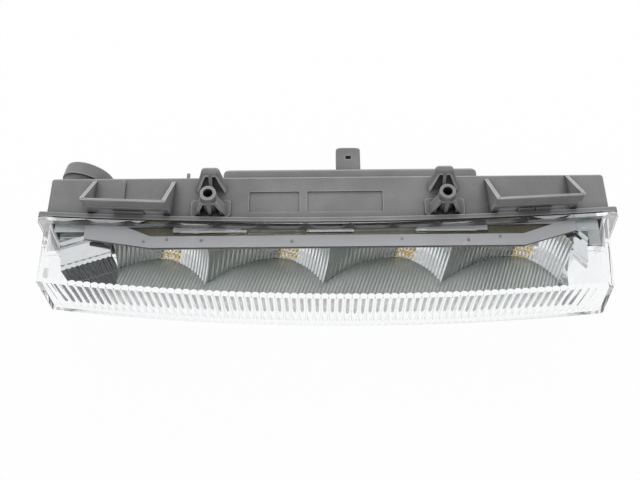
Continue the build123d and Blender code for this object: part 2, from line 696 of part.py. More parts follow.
def rear_cover():
    """Box on the back with corner posts, board posts and the plug socket."""
    body = cover_slice(0, COVER_FRONT, COVER_BACK)
    body = fillet(body.faces().sort_by(Axis.Y)[-1].edges(), COVER_EDGE_RADIUS)
    body -= cover_slice(COVER_WALL, COVER_FRONT - CLEARANCE, COVER_INNER)
    body += socket_slice(0, COVER_INNER, SOCKET_END)
    body -= socket_slice(SOCKET_WALL, SOCKET_FLOOR, SOCKET_END + CLEARANCE)
    latch_end = SOCKET_END - LATCH_INSET
    latch = (SOCKET_X - LATCH_WIDTH / 2, SOCKET_X + LATCH_WIDTH / 2)
    roof = (SOCKET_TOP - SOCKET_WALL, SOCKET_TOP + CLEARANCE)
    body -= block(*latch, latch_end - LATCH_LENGTH, latch_end, *roof)
    for x, z in standoff_places():
        body += rod_back(x, z, DRIVER_STANDOFF_RADIUS, DRIVER_BACK, COVER_INNER)
    for x, z in cover_screw_places():
        body += rod_back(x, z, COVER_POST_RADIUS, COVER_FRONT, COVER_INNER)
        body -= rod_back(x, z, COVER_SCREW_RADIUS + SCREW_CLEARANCE, COVER_FRONT - CLEARANCE, COVER_BACK)
        head_seat = COVER_BACK - COVER_HEAD_HEIGHT
        body -= rod_back(x, z, COVER_HEAD_RADIUS + SCREW_CLEARANCE, head_seat, COVER_BACK + CLEARANCE)
    for x in pin_places():
        half = PIN_WIDTH / 2
        tall = PIN_HEIGHT / 2
        body -= block(x - half, x + half, COVER_INNER - CLEARANCE, SOCKET_FLOOR + CLEARANCE,
                      SOCKET_MID_Z - tall, SOCKET_MID_Z + tall)
    return body


def pan_screw(head_radius, head_height, radius, length):
    """Screw along its own Z, with the seat of its head at the origin and its shank pointing down."""
    head = Pos(0, 0, head_height / 2) * Cylinder(head_radius, head_height)
    head = chamfer(head.edges().sort_by(Axis.Z)[-1], HEAD_BEVEL_SHARE * head_height)
    drive = Pos(0, 0, head_height) * RegularPolygon(DRIVE_SHARE * head_radius, DRIVE_SIDES)
    head -= extrude(drive, -DRIVE_SHARE * head_height)
    return head + Pos(0, 0, -length / 2) * Cylinder(radius, length)


def cover_screws():
    """Four screws that hold the rear cover."""
    screw = pan_screw(COVER_HEAD_RADIUS, COVER_HEAD_HEIGHT, COVER_SCREW_RADIUS, COVER_SCREW_LENGTH)
    seat = COVER_BACK - COVER_HEAD_HEIGHT
    return Compound([Pos(x, seat, z) * Rot(-90, 0, 0) * screw for x, z in cover_screw_places()])


def sink_screws():
    """Four screws that hold the heat sink on its bosses."""
    screw = pan_screw(SCREW_HEAD_RADIUS, SCREW_HEAD_HEIGHT, SINK_SCREW_RADIUS, SINK_SCREW_LENGTH)
    return Compound([Pos(x, PANEL_FRONT, z) * Rot(90, 0, 0) * screw for x, z in sink_screw_places()])


def board_screws():
    """Screws through plate and board into the reflector, one on each ridge."""
    screw = pan_screw(SCREW_HEAD_RADIUS, SCREW_HEAD_HEIGHT, BOARD_SCREW_RADIUS, BOARD_SCREW_LENGTH)
    return Compound([Pos(x, BOARD_SCREW_Y, PLATE_TOP) * screw for x in RIDGES])


def terminal_pins():
    """Two blades from the driver board into the plug socket."""
    half = PIN_WIDTH / 2
    tall = PIN_HEIGHT / 2
    pins = []
    for x in pin_places():
        blade = block(x - half, x + half, DRIVER_BACK, PIN_TIP, SOCKET_MID_Z - tall, SOCKET_MID_Z + tall)
        tip_edges = blade.faces().sort_by(Axis.Y)[-1].edges()
        pins.append(chamfer(tip_edges, PIN_BEVEL))
    return Compound(pins)


def breather_cap():
    """Round cap on the neck, with breathing slots in its lower side."""
    body = neck_tube(CAP_RADIUS, CAP_START, CAP_END + CAP_WALL)
    rim = body.edges().sort_by(Axis.Y)[-1]
    body = fillet(rim, CAP_EDGE_RADIUS)
    body -= neck_tube(NECK_RADIUS + CAP_GAP, CAP_START - CLEARANCE, CAP_END)
    slot = Pos(CAP_RADIUS, 0, 0) * Box(4 * CAP_WALL, CAP_SLOT_WIDTH, 2 * CAP_SLOT_HEIGHT)
    for turn in CAP_SLOT_TURNS:
        body -= neck_rise(CAP_START) * Rot(0, 0, turn) * slot
    return body


def breather_membrane():
    """Thin disc that covers the vent bore."""
    radius = NECK_RADIUS - NECK_WALL - CLEARANCE
    return neck_tube(radius, HOUSING_WALL, HOUSING_WALL + MEMBRANE_THICKNESS)


def lead_window():
    """Room in the heat sink panel for the two leads."""
    half = HEADER_LENGTH / 2 + CLEARANCE
    bottom = BOARD_BOTTOM - HEADER_HEIGHT - CLEARANCE
    depth = (PANEL_FRONT - CLEARANCE, SINK_BACK + FIN_REACH)
    return block(HEADER_X - half, HEADER_X + half, *depth, bottom, PLATE_BOTTOM)


def heat_sink():
    """Plate over the board, folded down behind the reflector, with fins on the back of the fold."""
    corners = [
        (PLATE_LEFT, SINK_BACK), (PLATE_LEFT, PLATE_LEFT_FRONT), (PLATE_LEFT_KNEE, PLATE_FRONT),
        (PLATE_RIGHT_KNEE, PLATE_FRONT), (PLATE_RIGHT, PLATE_RIGHT_FRONT), (PLATE_RIGHT, SINK_BACK),
    ]
    plate = make_face(Polyline(*corners, close=True))
    pocket_corners = [
        (POCKET_LEFT, POCKET_BACK), (PLATE_LEFT_KNEE, POCKET_FRONT), (PLATE_RIGHT_KNEE, POCKET_FRONT),
        (POCKET_RIGHT, POCKET_BACK),
    ]
    pocket = make_face(Polyline(*pocket_corners, close=True))
    for x, length in zip(RIDGES, TAB_LENGTHS):
        tab_depth = POCKET_BACK - TAB_FRONT
        pocket -= Pos(x, TAB_FRONT + tab_depth / 2) * Rectangle(length, tab_depth)
    body = Pos(0, 0, PLATE_BOTTOM) * extrude(plate - pocket, PLATE_THICKNESS)
    body += block(PLATE_LEFT, PLATE_RIGHT, PANEL_FRONT, SINK_BACK, SINK_PANEL_BOTTOM, PLATE_BOTTOM)
    for i in range(FIN_COUNT):
        x = (i - (FIN_COUNT - 1) / 2) * FIN_PITCH
        if abs(x - HEADER_X) > FIN_LEAD_ROOM:
            half = FIN_WIDTH / 2
            body += block(x - half, x + half, SINK_BACK, SINK_BACK + FIN_REACH, SINK_PANEL_BOTTOM, PLATE_TOP)
    body -= lead_window()
    for x, z in sink_screw_places():
        bore = SINK_SCREW_RADIUS + SCREW_CLEARANCE
        body -= rod_back(x, z, bore, PANEL_FRONT - CLEARANCE, SINK_BACK + CLEARANCE)
    for x in RIDGES:
        bore = BOARD_SCREW_RADIUS + SCREW_CLEARANCE
        body -= post(x, BOARD_SCREW_Y, bore, PLATE_BOTTOM - CLEARANCE, PLATE_TOP + CLEARANCE)
    return body


def led_board():
    """Circuit board under the plate."""
    front = PLATE_FRONT + BOARD_FRONT_SETBACK
    corners = [
        (BOARD_LEFT, BOARD_BACK), (BOARD_LEFT, PLATE_LEFT_FRONT + BOARD_FRONT_SETBACK),
        (PLATE_LEFT_KNEE, front), (PLATE_RIGHT_KNEE, front),
        (BOARD_RIGHT, PLATE_RIGHT_FRONT + BOARD_FRONT_SETBACK), (BOARD_RIGHT, BOARD_BACK),
    ]
    body = Pos(0, 0, BOARD_BOTTOM) * extrude(make_face(Polyline(*corners, close=True)), BOARD_THICKNESS)
    for x in RIDGES:
        bore = BOARD_SCREW_RADIUS + SCREW_CLEARANCE
        body -= post(x, BOARD_SCREW_Y, bore, BOARD_BOTTOM - CLEARANCE, PLATE_BOTTOM + CLEARANCE)
    return body


def led_packages():
    """Light emitting packages at the focus of each bowl."""
    half = LED_SIZE / 2
    return Compound([
        block(x - half, x + half, FOCUS_Y - half, FOCUS_Y + half, EMITTER_Z, BOARD_BOTTOM) for x in CELLS
    ])


def led_phosphors():
    """Yellow faces of the packages."""
    half = PHOSPHOR_SIZE / 2
    return Compound([
        block(x - half, x + half, FOCUS_Y - half, FOCUS_Y + half, EMITTER_Z - PHOSPHOR_HEIGHT, EMITTER_Z)
        for x in CELLS
    ])


def bowl(x, grow):
    """Solid paraboloid of one cell, open to the front, grown by the wall of the reflector."""
    focal = FOCAL_LENGTH + grow
    depth = BOWL_RADIUS ** 2 / (4 * focal)
    curve = Bezier((0, 0), (BOWL_RADIUS / 2, 0), (BOWL_RADIUS, -depth))
    sides = Polyline((BOWL_RADIUS, -depth), (0, -depth), (0, 0))
    solid = revolve(make_face([curve, sides]), Axis.Y)
    vertex = Pos(x + focal * sin(YAW), FOCUS_Y + focal * cos(YAW), EMITTER_Z)
    return vertex * Rot(0, 0, -CELL_YAW) * solid


def ridge_boss(x):
    """Boss for a board screw, with a web that ties it to the ridge between two bowls."""
    bottom = BOARD_BOTTOM - RIDGE_BOSS_LENGTH
    half = RIDGE_WEB / 2
    web = block(x - half, x + half, BOARD_SCREW_Y - RIDGE_WEB_REACH, BOARD_SCREW_Y, bottom, BOARD_BOTTOM)
    return post(x, BOARD_SCREW_Y, RIDGE_BOSS_RADIUS, bottom, BOARD_BOTTOM) + web


def reflector():
    """Four half bowls on one floor, cut off along the front of the lens."""
    inset = LENS_FRONT_WALL + FLUTE_DEPTH + REFLECTOR_FRONT_GAP
    back = PANEL_FRONT - CLEARANCE
    limits = block(REFLECTOR_LEFT, REFLECTOR_RIGHT, -LENS_DEPTH, back, REFLECTOR_UNDERSIDE, REFLECTOR_TOP)
    limits &= slab_to(front_line(inset), MARGIN)
    room = block(-BODY_LENGTH, BODY_LENGTH, -BODY_LENGTH, BODY_LENGTH, REFLECTOR_FLOOR, MARGIN)
    walls = Part()
    hollows = Part()
    for x in CELLS:
        walls += bowl(x, REFLECTOR_WALL)
        hollows += bowl(x, 0)
    body = walls & limits
    for x in RIDGES:
        body += ridge_boss(x)
    body -= hollows & room
    for x in RIDGES:
        bore = BOARD_SCREW_RADIUS + THREAD_CLEARANCE
        tip = PLATE_TOP - BOARD_SCREW_LENGTH - CLEARANCE
        body -= post(x, BOARD_SCREW_Y, bore, tip, BOARD_BOTTOM + CLEARANCE)
    return body


def wing_profile(x, shift, drop):
    """Stepped section of a wing in the upright plane at x."""
    steps = [(WING_DEPTH, WING_TOP)] + [(back, WING_TOP - fall) for back, fall in WING_STEPS]
    steps += [(0, BEZEL_BOTTOM), (WING_DEPTH, BEZEL_BOTTOM)]
    points = [(WING_FRONT + shift + back, z - drop) for back, z in steps]
    return Plane.YZ.offset(x) * make_face(Polyline(*points, close=True))


def wing(x0, shift0, x1, shift1):
    """Stepped sheet between two sections."""
    outer = loft([wing_profile(x0, shift0, 0), wing_profile(x1, shift1, 0)])
    inner = loft([
        wing_profile(x0, shift0 + WING_WALL, WING_WALL), wing_profile(x1, shift1 + WING_WALL, WING_WALL),
    ])
    return outer - inner


def bezel():
    """Inner trim with a strip under the reflector and a stepped wing at each end."""
    inset = LENS_FRONT_WALL + FLUTE_DEPTH + REFLECTOR_FRONT_GAP
    strip = block(WING_LEFT_END, WING_RIGHT_END, -LENS_DEPTH, MARGIN, BEZEL_BOTTOM, REFLECTOR_UNDERSIDE)
    strip &= slab(front_line(inset), front_line(inset + BEZEL_STRIP_DEPTH))
    left_inner = REFLECTOR_LEFT - CLEARANCE
    right_inner = REFLECTOR_RIGHT + CLEARANCE
    tongue_back = WING_FRONT + WING_SWEEP + WING_WALL
    for x0, x1 in ((WING_LEFT_END, left_inner), (right_inner, WING_RIGHT_END)):
        tongue = block(x0, x1, -LENS_DEPTH, tongue_back, BEZEL_BOTTOM, REFLECTOR_UNDERSIDE)
        strip += tongue & slab_to(front_line(inset), MARGIN)
    body = strip + wing(WING_LEFT_END, -WING_SWEEP, left_inner, WING_SWEEP)
    body += wing(right_inner, WING_SWEEP, WING_RIGHT_END, -WING_SWEEP)
    last_drop = WING_STEPS[-1][1]
    open_top = WING_TOP - last_drop - 2 * WING_WALL
    body -= block(right_inner + WING_STRUT, BODY_HALF, -LENS_DEPTH, MARGIN, BEZEL_BOTTOM - CLEARANCE, open_top)
    flute_count = int((left_inner - WING_LEFT_END) / WING_FLUTE_PITCH)
    for i in range(flute_count):
        x = left_inner - (i + 0.5) * WING_FLUTE_PITCH
        y = WING_FRONT + WING_SWEEP * (1 - 2 * (left_inner - x) / (left_inner - WING_LEFT_END))
        groove_y = y - WING_FLUTE_RADIUS / 2
        body -= post(x, groove_y, WING_FLUTE_RADIUS, REFLECTOR_UNDERSIDE, WING_TOP)
    return body & lens_block(-LENS_WALL - BEZEL_GAP)


def driver_board():
    """Circuit board on the posts of the rear cover."""
    xs = (COVER_LEFT + DRIVER_MARGIN, COVER_RIGHT - DRIVER_MARGIN)
    zs = (COVER_BOTTOM + DRIVER_BORDER, COVER_TOP - DRIVER_BORDER)
    return block(*xs, DRIVER_FRONT, DRIVER_BACK, *zs)


def inductor():
    """Round coil on the driver board, with a waist between its two discs."""
    disc = INDUCTOR_FLANGE
    back = DRIVER_FRONT
    front = back - INDUCTOR_HEIGHT
    body = rod_back(INDUCTOR_X, COVER_MID_Z, INDUCTOR_RADIUS, back - disc, back)
    body += rod_back(INDUCTOR_X, COVER_MID_Z, INDUCTOR_RADIUS - disc, front + disc, back - disc)
    return body + rod_back(INDUCTOR_X, COVER_MID_Z, INDUCTOR_RADIUS, front, front + disc)


def capacitors():
    """Two round capacitors on the driver board."""
    cans = []
    for i in range(2):
        x = CAPACITOR_X + i * CAPACITOR_PITCH
        can = rod_back(x, COVER_MID_Z, CAPACITOR_RADIUS, DRIVER_FRONT - CAPACITOR_HEIGHT, DRIVER_FRONT)
        cans.append(fillet(can.edges().sort_by(Axis.Y)[0], CAPACITOR_EDGE_RADIUS))
    return Compound(cans)


def driver_chips():
    """Flat packages on the driver board."""
    chips = []
    for i in range(2):
        x = CHIP_X + i * CHIP_PITCH
        half = CHIP_LENGTH / 2
        tall = CHIP_WIDTH / 2
        front = DRIVER_FRONT - CHIP_HEIGHT
        chip = block(x - half, x + half, front, DRIVER_FRONT, COVER_MID_Z - tall, COVER_MID_Z + tall)
        chips.append(chamfer(chip.faces().sort_by(Axis.Y)[0].edges(), CHIP_BEVEL))
    return Compound(chips)


def driver_header():
    """Plug block on the driver board."""
    half = HEADER_LENGTH / 2
    front = DRIVER_FRONT - HEADER_HEIGHT
    top = SOCKET_MID_Z + HEADER_WIDTH / 2
    return block(HEADER_X - half, HEADER_X + half, front, DRIVER_FRONT, top - HEADER_WIDTH, top)


def board_header():
    """Plug block under the back edge of the light board."""
    half = HEADER_LENGTH / 2
    front = BOARD_BACK - HEADER_WIDTH
    heights = (BOARD_BOTTOM - HEADER_HEIGHT, BOARD_BOTTOM)
    return block(HEADER_X - half, HEADER_X + half, front, BOARD_BACK, *heights)


def lead(side):
    """Insulated wire between the two headers."""
    x = HEADER_X + side * LEAD_SPACING / 2
    start_z = BOARD_BOTTOM - HEADER_HEIGHT / 2
    end_y = DRIVER_FRONT - HEADER_HEIGHT
    span = end_y - BOARD_BACK
    points = [
        (x, BOARD_BACK, start_z), (x, BOARD_BACK + LEAD_FIRST_TURN * span, start_z),
        (x, BOARD_BACK + LEAD_SECOND_TURN * span, SOCKET_MID_Z), (x, end_y, SOCKET_MID_Z),
    ]
    path = FilletPolyline(*points, radius=LEAD_BEND)
    section = Plane(origin=points[0], z_dir=(0, 1, 0)) * Circle(LEAD_RADIUS)
    return sweep(section, path)


NODES = {
    "housing": housing,
    "lens": lens,
    "lens_seal": lens_seal,
    "reflector": reflector,
    "bezel": bezel,
    "heat_sink": heat_sink,
    "led_board": led_board,
    "led_packages": led_packages,
    "led_phosphors": led_phosphors,
    "board_screws": board_screws,
    "sink_screws": sink_screws,
    "rear_cover": rear_cover,
    "cover_seal": cover_seal,
    "cover_screws": cover_screws,
    "terminal_pins": terminal_pins,
    "breather_cap": breather_cap,
    "breather_membrane": breather_membrane,
    "driver_board": driver_board,
    "inductor": inductor,
    "capacitors": capacitors,
    "driver_chips": driver_chips,
    "driver_header": driver_header,
    "board_header": board_header,
    "supply_lead": lambda: lead(-1),
    "return_lead": lambda: lead(1),
}

os.makedirs("parts", exist_ok=True)
for name, make in NODES.items():
    export_step(Pos(0, -BOSS_Y, -BOSS_TOP) * make(), f"parts/{name}.step")
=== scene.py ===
"""Looks of a daytime running light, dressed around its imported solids."""

import logging
import math
from dataclasses import dataclass
from enum import Enum

import bmesh
import bpy
from mathutils import Matrix, Vector


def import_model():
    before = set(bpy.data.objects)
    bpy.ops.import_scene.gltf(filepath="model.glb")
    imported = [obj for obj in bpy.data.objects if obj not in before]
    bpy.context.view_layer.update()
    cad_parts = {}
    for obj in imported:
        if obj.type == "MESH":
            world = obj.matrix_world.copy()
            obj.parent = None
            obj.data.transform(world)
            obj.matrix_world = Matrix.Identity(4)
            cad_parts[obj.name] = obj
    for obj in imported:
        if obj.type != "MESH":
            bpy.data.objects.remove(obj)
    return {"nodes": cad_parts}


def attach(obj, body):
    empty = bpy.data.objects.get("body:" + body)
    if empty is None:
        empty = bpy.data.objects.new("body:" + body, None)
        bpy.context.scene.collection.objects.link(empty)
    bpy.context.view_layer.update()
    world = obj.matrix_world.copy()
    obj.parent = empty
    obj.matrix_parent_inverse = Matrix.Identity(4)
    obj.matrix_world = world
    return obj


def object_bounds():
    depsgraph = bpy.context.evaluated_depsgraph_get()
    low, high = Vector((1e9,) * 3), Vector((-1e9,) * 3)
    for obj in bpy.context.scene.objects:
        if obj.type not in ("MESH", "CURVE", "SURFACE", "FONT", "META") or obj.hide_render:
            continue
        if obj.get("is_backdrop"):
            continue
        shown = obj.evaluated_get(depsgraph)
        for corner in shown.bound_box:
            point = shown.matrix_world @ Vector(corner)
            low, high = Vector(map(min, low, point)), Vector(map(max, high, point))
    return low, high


LOG = logging.getLogger("running_light")
MM = 0.001
BODY = "root"
OPAQUE = (1.0,)
GRID_HALF = 0.5
PARABOLA = 4.0
MIX_COLOUR_INPUTS = (6, 7)
MIX_COLOUR_OUTPUT = 2
MIX_NUMBER_INPUTS = (2, 3)
RANDOM_NUMBER_INPUTS = (2, 3)
RANDOM_NUMBER_OUTPUT = 1
Colour = tuple[float, float, float]
Point = tuple[float, float, float]
Span = tuple[float, float]


class Slot(Enum):
    """Finish slots of the record."""

    HOUSING = "housing_grey"
    LENS = "clear_lens"
    SEAL = "seal_black"
    MIRROR = "aluminised"
    SINK = "sink_metal"
    BOARD = "board_olive"
    PACKAGE = "package_white"
    PHOSPHOR = "phosphor_yellow"
    SCREW = "screw_steel"
    PIN = "pin_brass"
    CAP = "cap_grey"
    MEMBRANE = "membrane_white"
    DRIVER = "board_green"
    FERRITE = "ferrite_black"
    CAN = "can_aluminium"
    CHIP = "chip_black"
    HEADER = "header_white"
    RED_LEAD = "lead_red"
    BLACK_LEAD = "lead_black"


class Look(Enum):
    """Finishes that differ from the usual one of their slot."""

    SATIN_FLOOR = "satin_floor"
    SATIN_FLANK_PAINTED_SHADE = "satin_flank_painted_shade"
    GOLD_PAINTED_REFLECTION = "gold_painted_reflection"
    FLUTED_TRIM = "fluted_trim"
    SEAL_BEAD = "seal_bead"


class Shader:
    """Adds and links the nodes of one node tree."""

    def __init__(self, tree: bpy.types.NodeTree) -> None:
        """Keeps the tree that the nodes go into."""
        self.tree = tree

    def add(self, kind: str, **settings: object) -> bpy.types.Node:
        """Adds a node.

        Args:
            kind: Node type without its ShaderNode prefix.
            settings: Values of the node's own properties.

        Returns:
            The new node.
        """
        node = self.tree.nodes.new("ShaderNode" + kind)
        for name, value in settings.items():
            setattr(node, name, value)
        return node

    def link(self, source: bpy.types.NodeSocket, target: bpy.types.NodeSocket) -> None:
        """Links an output to an input."""
        self.tree.links.new(source, target)

    def feed(self, target: bpy.types.NodeSocket, value: object) -> None:
        """Links a socket or sets a plain value.

        Args:
            target: Input socket.
            value: Output socket, number or colour.
        """
        if isinstance(value, bpy.types.NodeSocket):
            self.link(value, target)
        else:
            target.default_value = value

    def math(self, operation: str, first: object, second: object = 0.0) -> bpy.types.NodeSocket:
        """Adds a Math node.

        Args:
            operation: Name of the operation.
            first: First value or socket.
            second: Second value or socket.

        Returns:
            The output socket.
        """
        node = self.add("Math", operation=operation)
        self.feed(node.inputs[0], first)
        self.feed(node.inputs[1], second)
        return node.outputs[0]

    def blend(self, share: object, first: object, second: object, mode: str = "MIX") -> bpy.types.NodeSocket:
        """Mixes two colours.

        Args:
            share: How much of the second colour shows.
            first: Colour or socket.
            second: Colour or socket.
            mode: Blend mode.

        Returns:
            The colour socket.
        """
        node = self.add("Mix", data_type="RGBA", blend_type=mode)
        self.feed(node.inputs[0], share)
        for index, colour in zip(MIX_COLOUR_INPUTS, (first, second)):
            self.feed(node.inputs[index], colour)
        return node.outputs[MIX_COLOUR_OUTPUT]

    def between(self, share: object, first: object, second: object) -> bpy.types.NodeSocket:
        """Mixes two numbers.

        Args:
            share: How much of the second number counts.
            first: Number or socket.
            second: Number or socket.

        Returns:
            The number socket.
        """
        node = self.add("Mix", data_type="FLOAT")
        self.feed(node.inputs[0], share)
        for index, number in zip(MIX_NUMBER_INPUTS, (first, second)):
            self.feed(node.inputs[index], number)
        return node.outputs[0]

    def layer(self, share: object, first: bpy.types.NodeSocket,
              second: bpy.types.NodeSocket) -> bpy.types.NodeSocket:
        """Mixes two surfaces.

        Args:
            share: How much of the second surface shows.
            first: Surface socket.
            second: Surface socket.

        Returns:
            The surface socket.
        """
        node = self.add("MixShader")
        for socket, value in zip(node.inputs, (share, first, second)):
            self.feed(socket, value)
        return node.outputs[0]

    def spread(self, value: bpy.types.NodeSocket, low: float, high: float, to_low: float = 0.0,
               to_high: float = 1.0) -> bpy.types.NodeSocket:
        """Maps a range of a value to another range.

        Args:
            value: Socket to map.
            low: Start of the range.
            high: End of the range.
            to_low: Result at the start.
            to_high: Result at the end.

        Returns:
            The mapped socket.
        """
        node = self.add("MapRange")
        self.link(value, node.inputs[0])
        for index, number in enumerate((low, high, to_low, to_high), 1):
            node.inputs[index].default_value = number
        return node.outputs[0]

    def vary(self, mask: bpy.types.NodeSocket, low: float, high: float) -> bpy.types.NodeSocket:
        """Value that goes from low to high with a mask."""
        return self.spread(mask, 0.0, 1.0, low, high)

    def noise(self, scale: float, detail: float) -> bpy.types.NodeSocket:
        """Adds a noise on Object coordinates.

        Args:
            scale: Features for each metre.
            detail: Octaves.

        Returns:
            The value socket.
        """
        node = self.add("TexNoise")
        node.inputs["Scale"].default_value = scale
        node.inputs["Detail"].default_value = detail
        self.link(self.add("TexCoord").outputs["Object"], node.inputs["Vector"])
        return node.outputs[0]

    def bump(self, height: bpy.types.NodeSocket, distance: float, strength: float) -> bpy.types.NodeSocket:
        """Adds a Bump node.

        Args:
            height: Height socket.
            distance: Depth in metres.
            strength: Share of the depth that shows.

        Returns:
            The normal socket.
        """
        node = self.add("Bump")
        node.inputs["Distance"].default_value = distance
        node.inputs["Strength"].default_value = strength
        self.link(height, node.inputs["Height"])
        return node.outputs[0]


def new_group(name: str, inputs: dict[str, float],
              outputs: list[str]) -> tuple[Shader, bpy.types.Node, bpy.types.Node]:
    """Starts a shader node group with plain value sockets.

    Args:
        name: Group name.
        inputs: Input names and their usual values.
        outputs: Output names.

    Returns:
        The group's builder, its entry node and its exit node.
    """
    group = bpy.data.node_groups.new(name, "ShaderNodeTree")
    for label, value in inputs.items():
        socket = group.interface.new_socket(label, in_out="INPUT", socket_type="NodeSocketFloat")
        socket.default_value = value
    for label in outputs:
        group.interface.new_socket(label, in_out="OUTPUT", socket_type="NodeSocketFloat")
    return Shader(group), group.nodes.new("NodeGroupInput"), group.nodes.new("NodeGroupOutput")


@dataclass
class Effects:
    """Shader groups that several finishes share."""

    grain_detail: float = 3.0
    spot_share: float = 0.5
    speckle_range: Span = (0.3, 0.7)
    tone_detail: float = 2.0
    tone_range: Span = (0.35, 0.65)
    gloss_detail: float = 5.0
    gloss_range: Span = (0.3, 0.7)
    # Ranges that turn ambient occlusion into painted shade in hollows and a painted highlight on edges.
    open_range: Span = (0.25, 0.95)
    edge_range: Span = (0.78, 0.5)
    relief_rays: int = 8

    def __post_init__(self) -> None:
        """Builds each group once."""
        self.grain = self.make_grain()
        self.patina = self.make_patina()
        self.painted_relief = self.make_painted_relief()

    def make_grain(self) -> bpy.types.NodeTree:
        """Fine moulded or rolled grain.

        Returns:
            Group with a height and a speckle mask.
        """
        usual = {"Scale": 2400.0, "Stretch": 1.0}
        shader, entry, leave = new_group("fine_grain", usual, ["Height", "Speckle"])
        sides = shader.add("CombineXYZ")
        sides.inputs["X"].default_value = 1.0
        sides.inputs["Z"].default_value = 1.0
        shader.link(entry.outputs["Stretch"], sides.inputs["Y"])
        scaled = shader.add("VectorMath", operation="MULTIPLY")
        shader.link(shader.add("TexCoord").outputs["Object"], scaled.inputs[0])
        shader.link(sides.outputs[0], scaled.inputs[1])
        fine = shader.add("TexNoise")
        fine.inputs["Detail"].default_value = self.grain_detail
        spots = shader.add("TexVoronoi")
        for pattern in (fine, spots):
            shader.link(scaled.outputs[0], pattern.inputs["Vector"])
            shader.link(entry.outputs["Scale"], pattern.inputs["Scale"])
        height = shader.math("MULTIPLY_ADD", spots.outputs["Distance"], self.spot_share)
        shader.link(fine.outputs[0], height.node.inputs[2])
        shader.link(height, leave.inputs["Height"])
        shader.link(shader.spread(fine.outputs[0], *self.speckle_range), leave.inputs["Speckle"])
        return shader.tree

    def make_patina(self) -> bpy.types.NodeTree:
        """Broad cloudy change of tone and gloss.

        Returns:
            Group with a tone mask and a gloss mask.
        """
        shader, entry, leave = new_group("soft_patina", {"Scale": 40.0}, ["Tone", "Gloss"])
        place = shader.add("TexCoord").outputs["Object"]
        masks = (("Tone", self.tone_detail, self.tone_range), ("Gloss", self.gloss_detail, self.gloss_range))
        for label, detail, limits in masks:
            cloud = shader.add("TexNoise")
            cloud.inputs["Detail"].default_value = detail
            shader.link(place, cloud.inputs["Vector"])
            shader.link(entry.outputs["Scale"], cloud.inputs["Scale"])
            shader.link(shader.spread(cloud.outputs[0], *limits), leave.inputs[label])
        return shader.tree

    def make_painted_relief(self) -> bpy.types.NodeTree:
        """Painted shade in the hollows and a painted highlight on the edges of a moulding, from ambient
        occlusion.

        Returns:
            Group with a mask of open places for the painted shade and a mask of edges for the painted
            highlight.
        """
        usual = {"Reach": 0.006, "Edge": 0.0012}
        shader, entry, leave = new_group("painted_hollow_shade_and_edge_light", usual, ["Open", "Edge"])
        masks = (("Open", "Reach", False, self.open_range), ("Edge", "Edge", True, self.edge_range))
        for label, reach, inside, limits in masks:
            hidden = shader.add("AmbientOcclusion", samples=self.relief_rays, inside=inside)
            shader.link(entry.outputs[reach], hidden.inputs["Distance"])
            shader.link(shader.spread(hidden.outputs["AO"], *limits), leave.inputs[label])
        return shader.tree

    def place(self, shader: Shader, group: bpy.types.NodeTree, **values: float) -> bpy.types.Node:
        """Puts a group in a material.

        Args:
            shader: Builder of the material.
            group: Group to place.
            values: Values of its inputs.

        Returns:
            The group node.
        """
        node = shader.add("Group", node_tree=group)
        for label, value in values.items():
            node.inputs[label].default_value = value
        return node


def start_material(name: str) -> tuple[bpy.types.Material, Shader, bpy.types.Node]:
    """Starts a material with one Principled shader.

    Args:
        name: Material name.

    Returns:
        The material, its builder and the Principled node.
    """
    material = bpy.data.materials.new(name)
    material.use_nodes = True
    shader = Shader(material.node_tree)
    return material, shader, material.node_tree.nodes["Principled BSDF"]


def end_material(shader: Shader, surface: bpy.types.NodeSocket) -> None:
    """Puts a mixed surface on a material's output."""
    leave = next(n for n in shader.tree.nodes if n.type == "OUTPUT_MATERIAL")
    shader.link(surface, leave.inputs["Surface"])


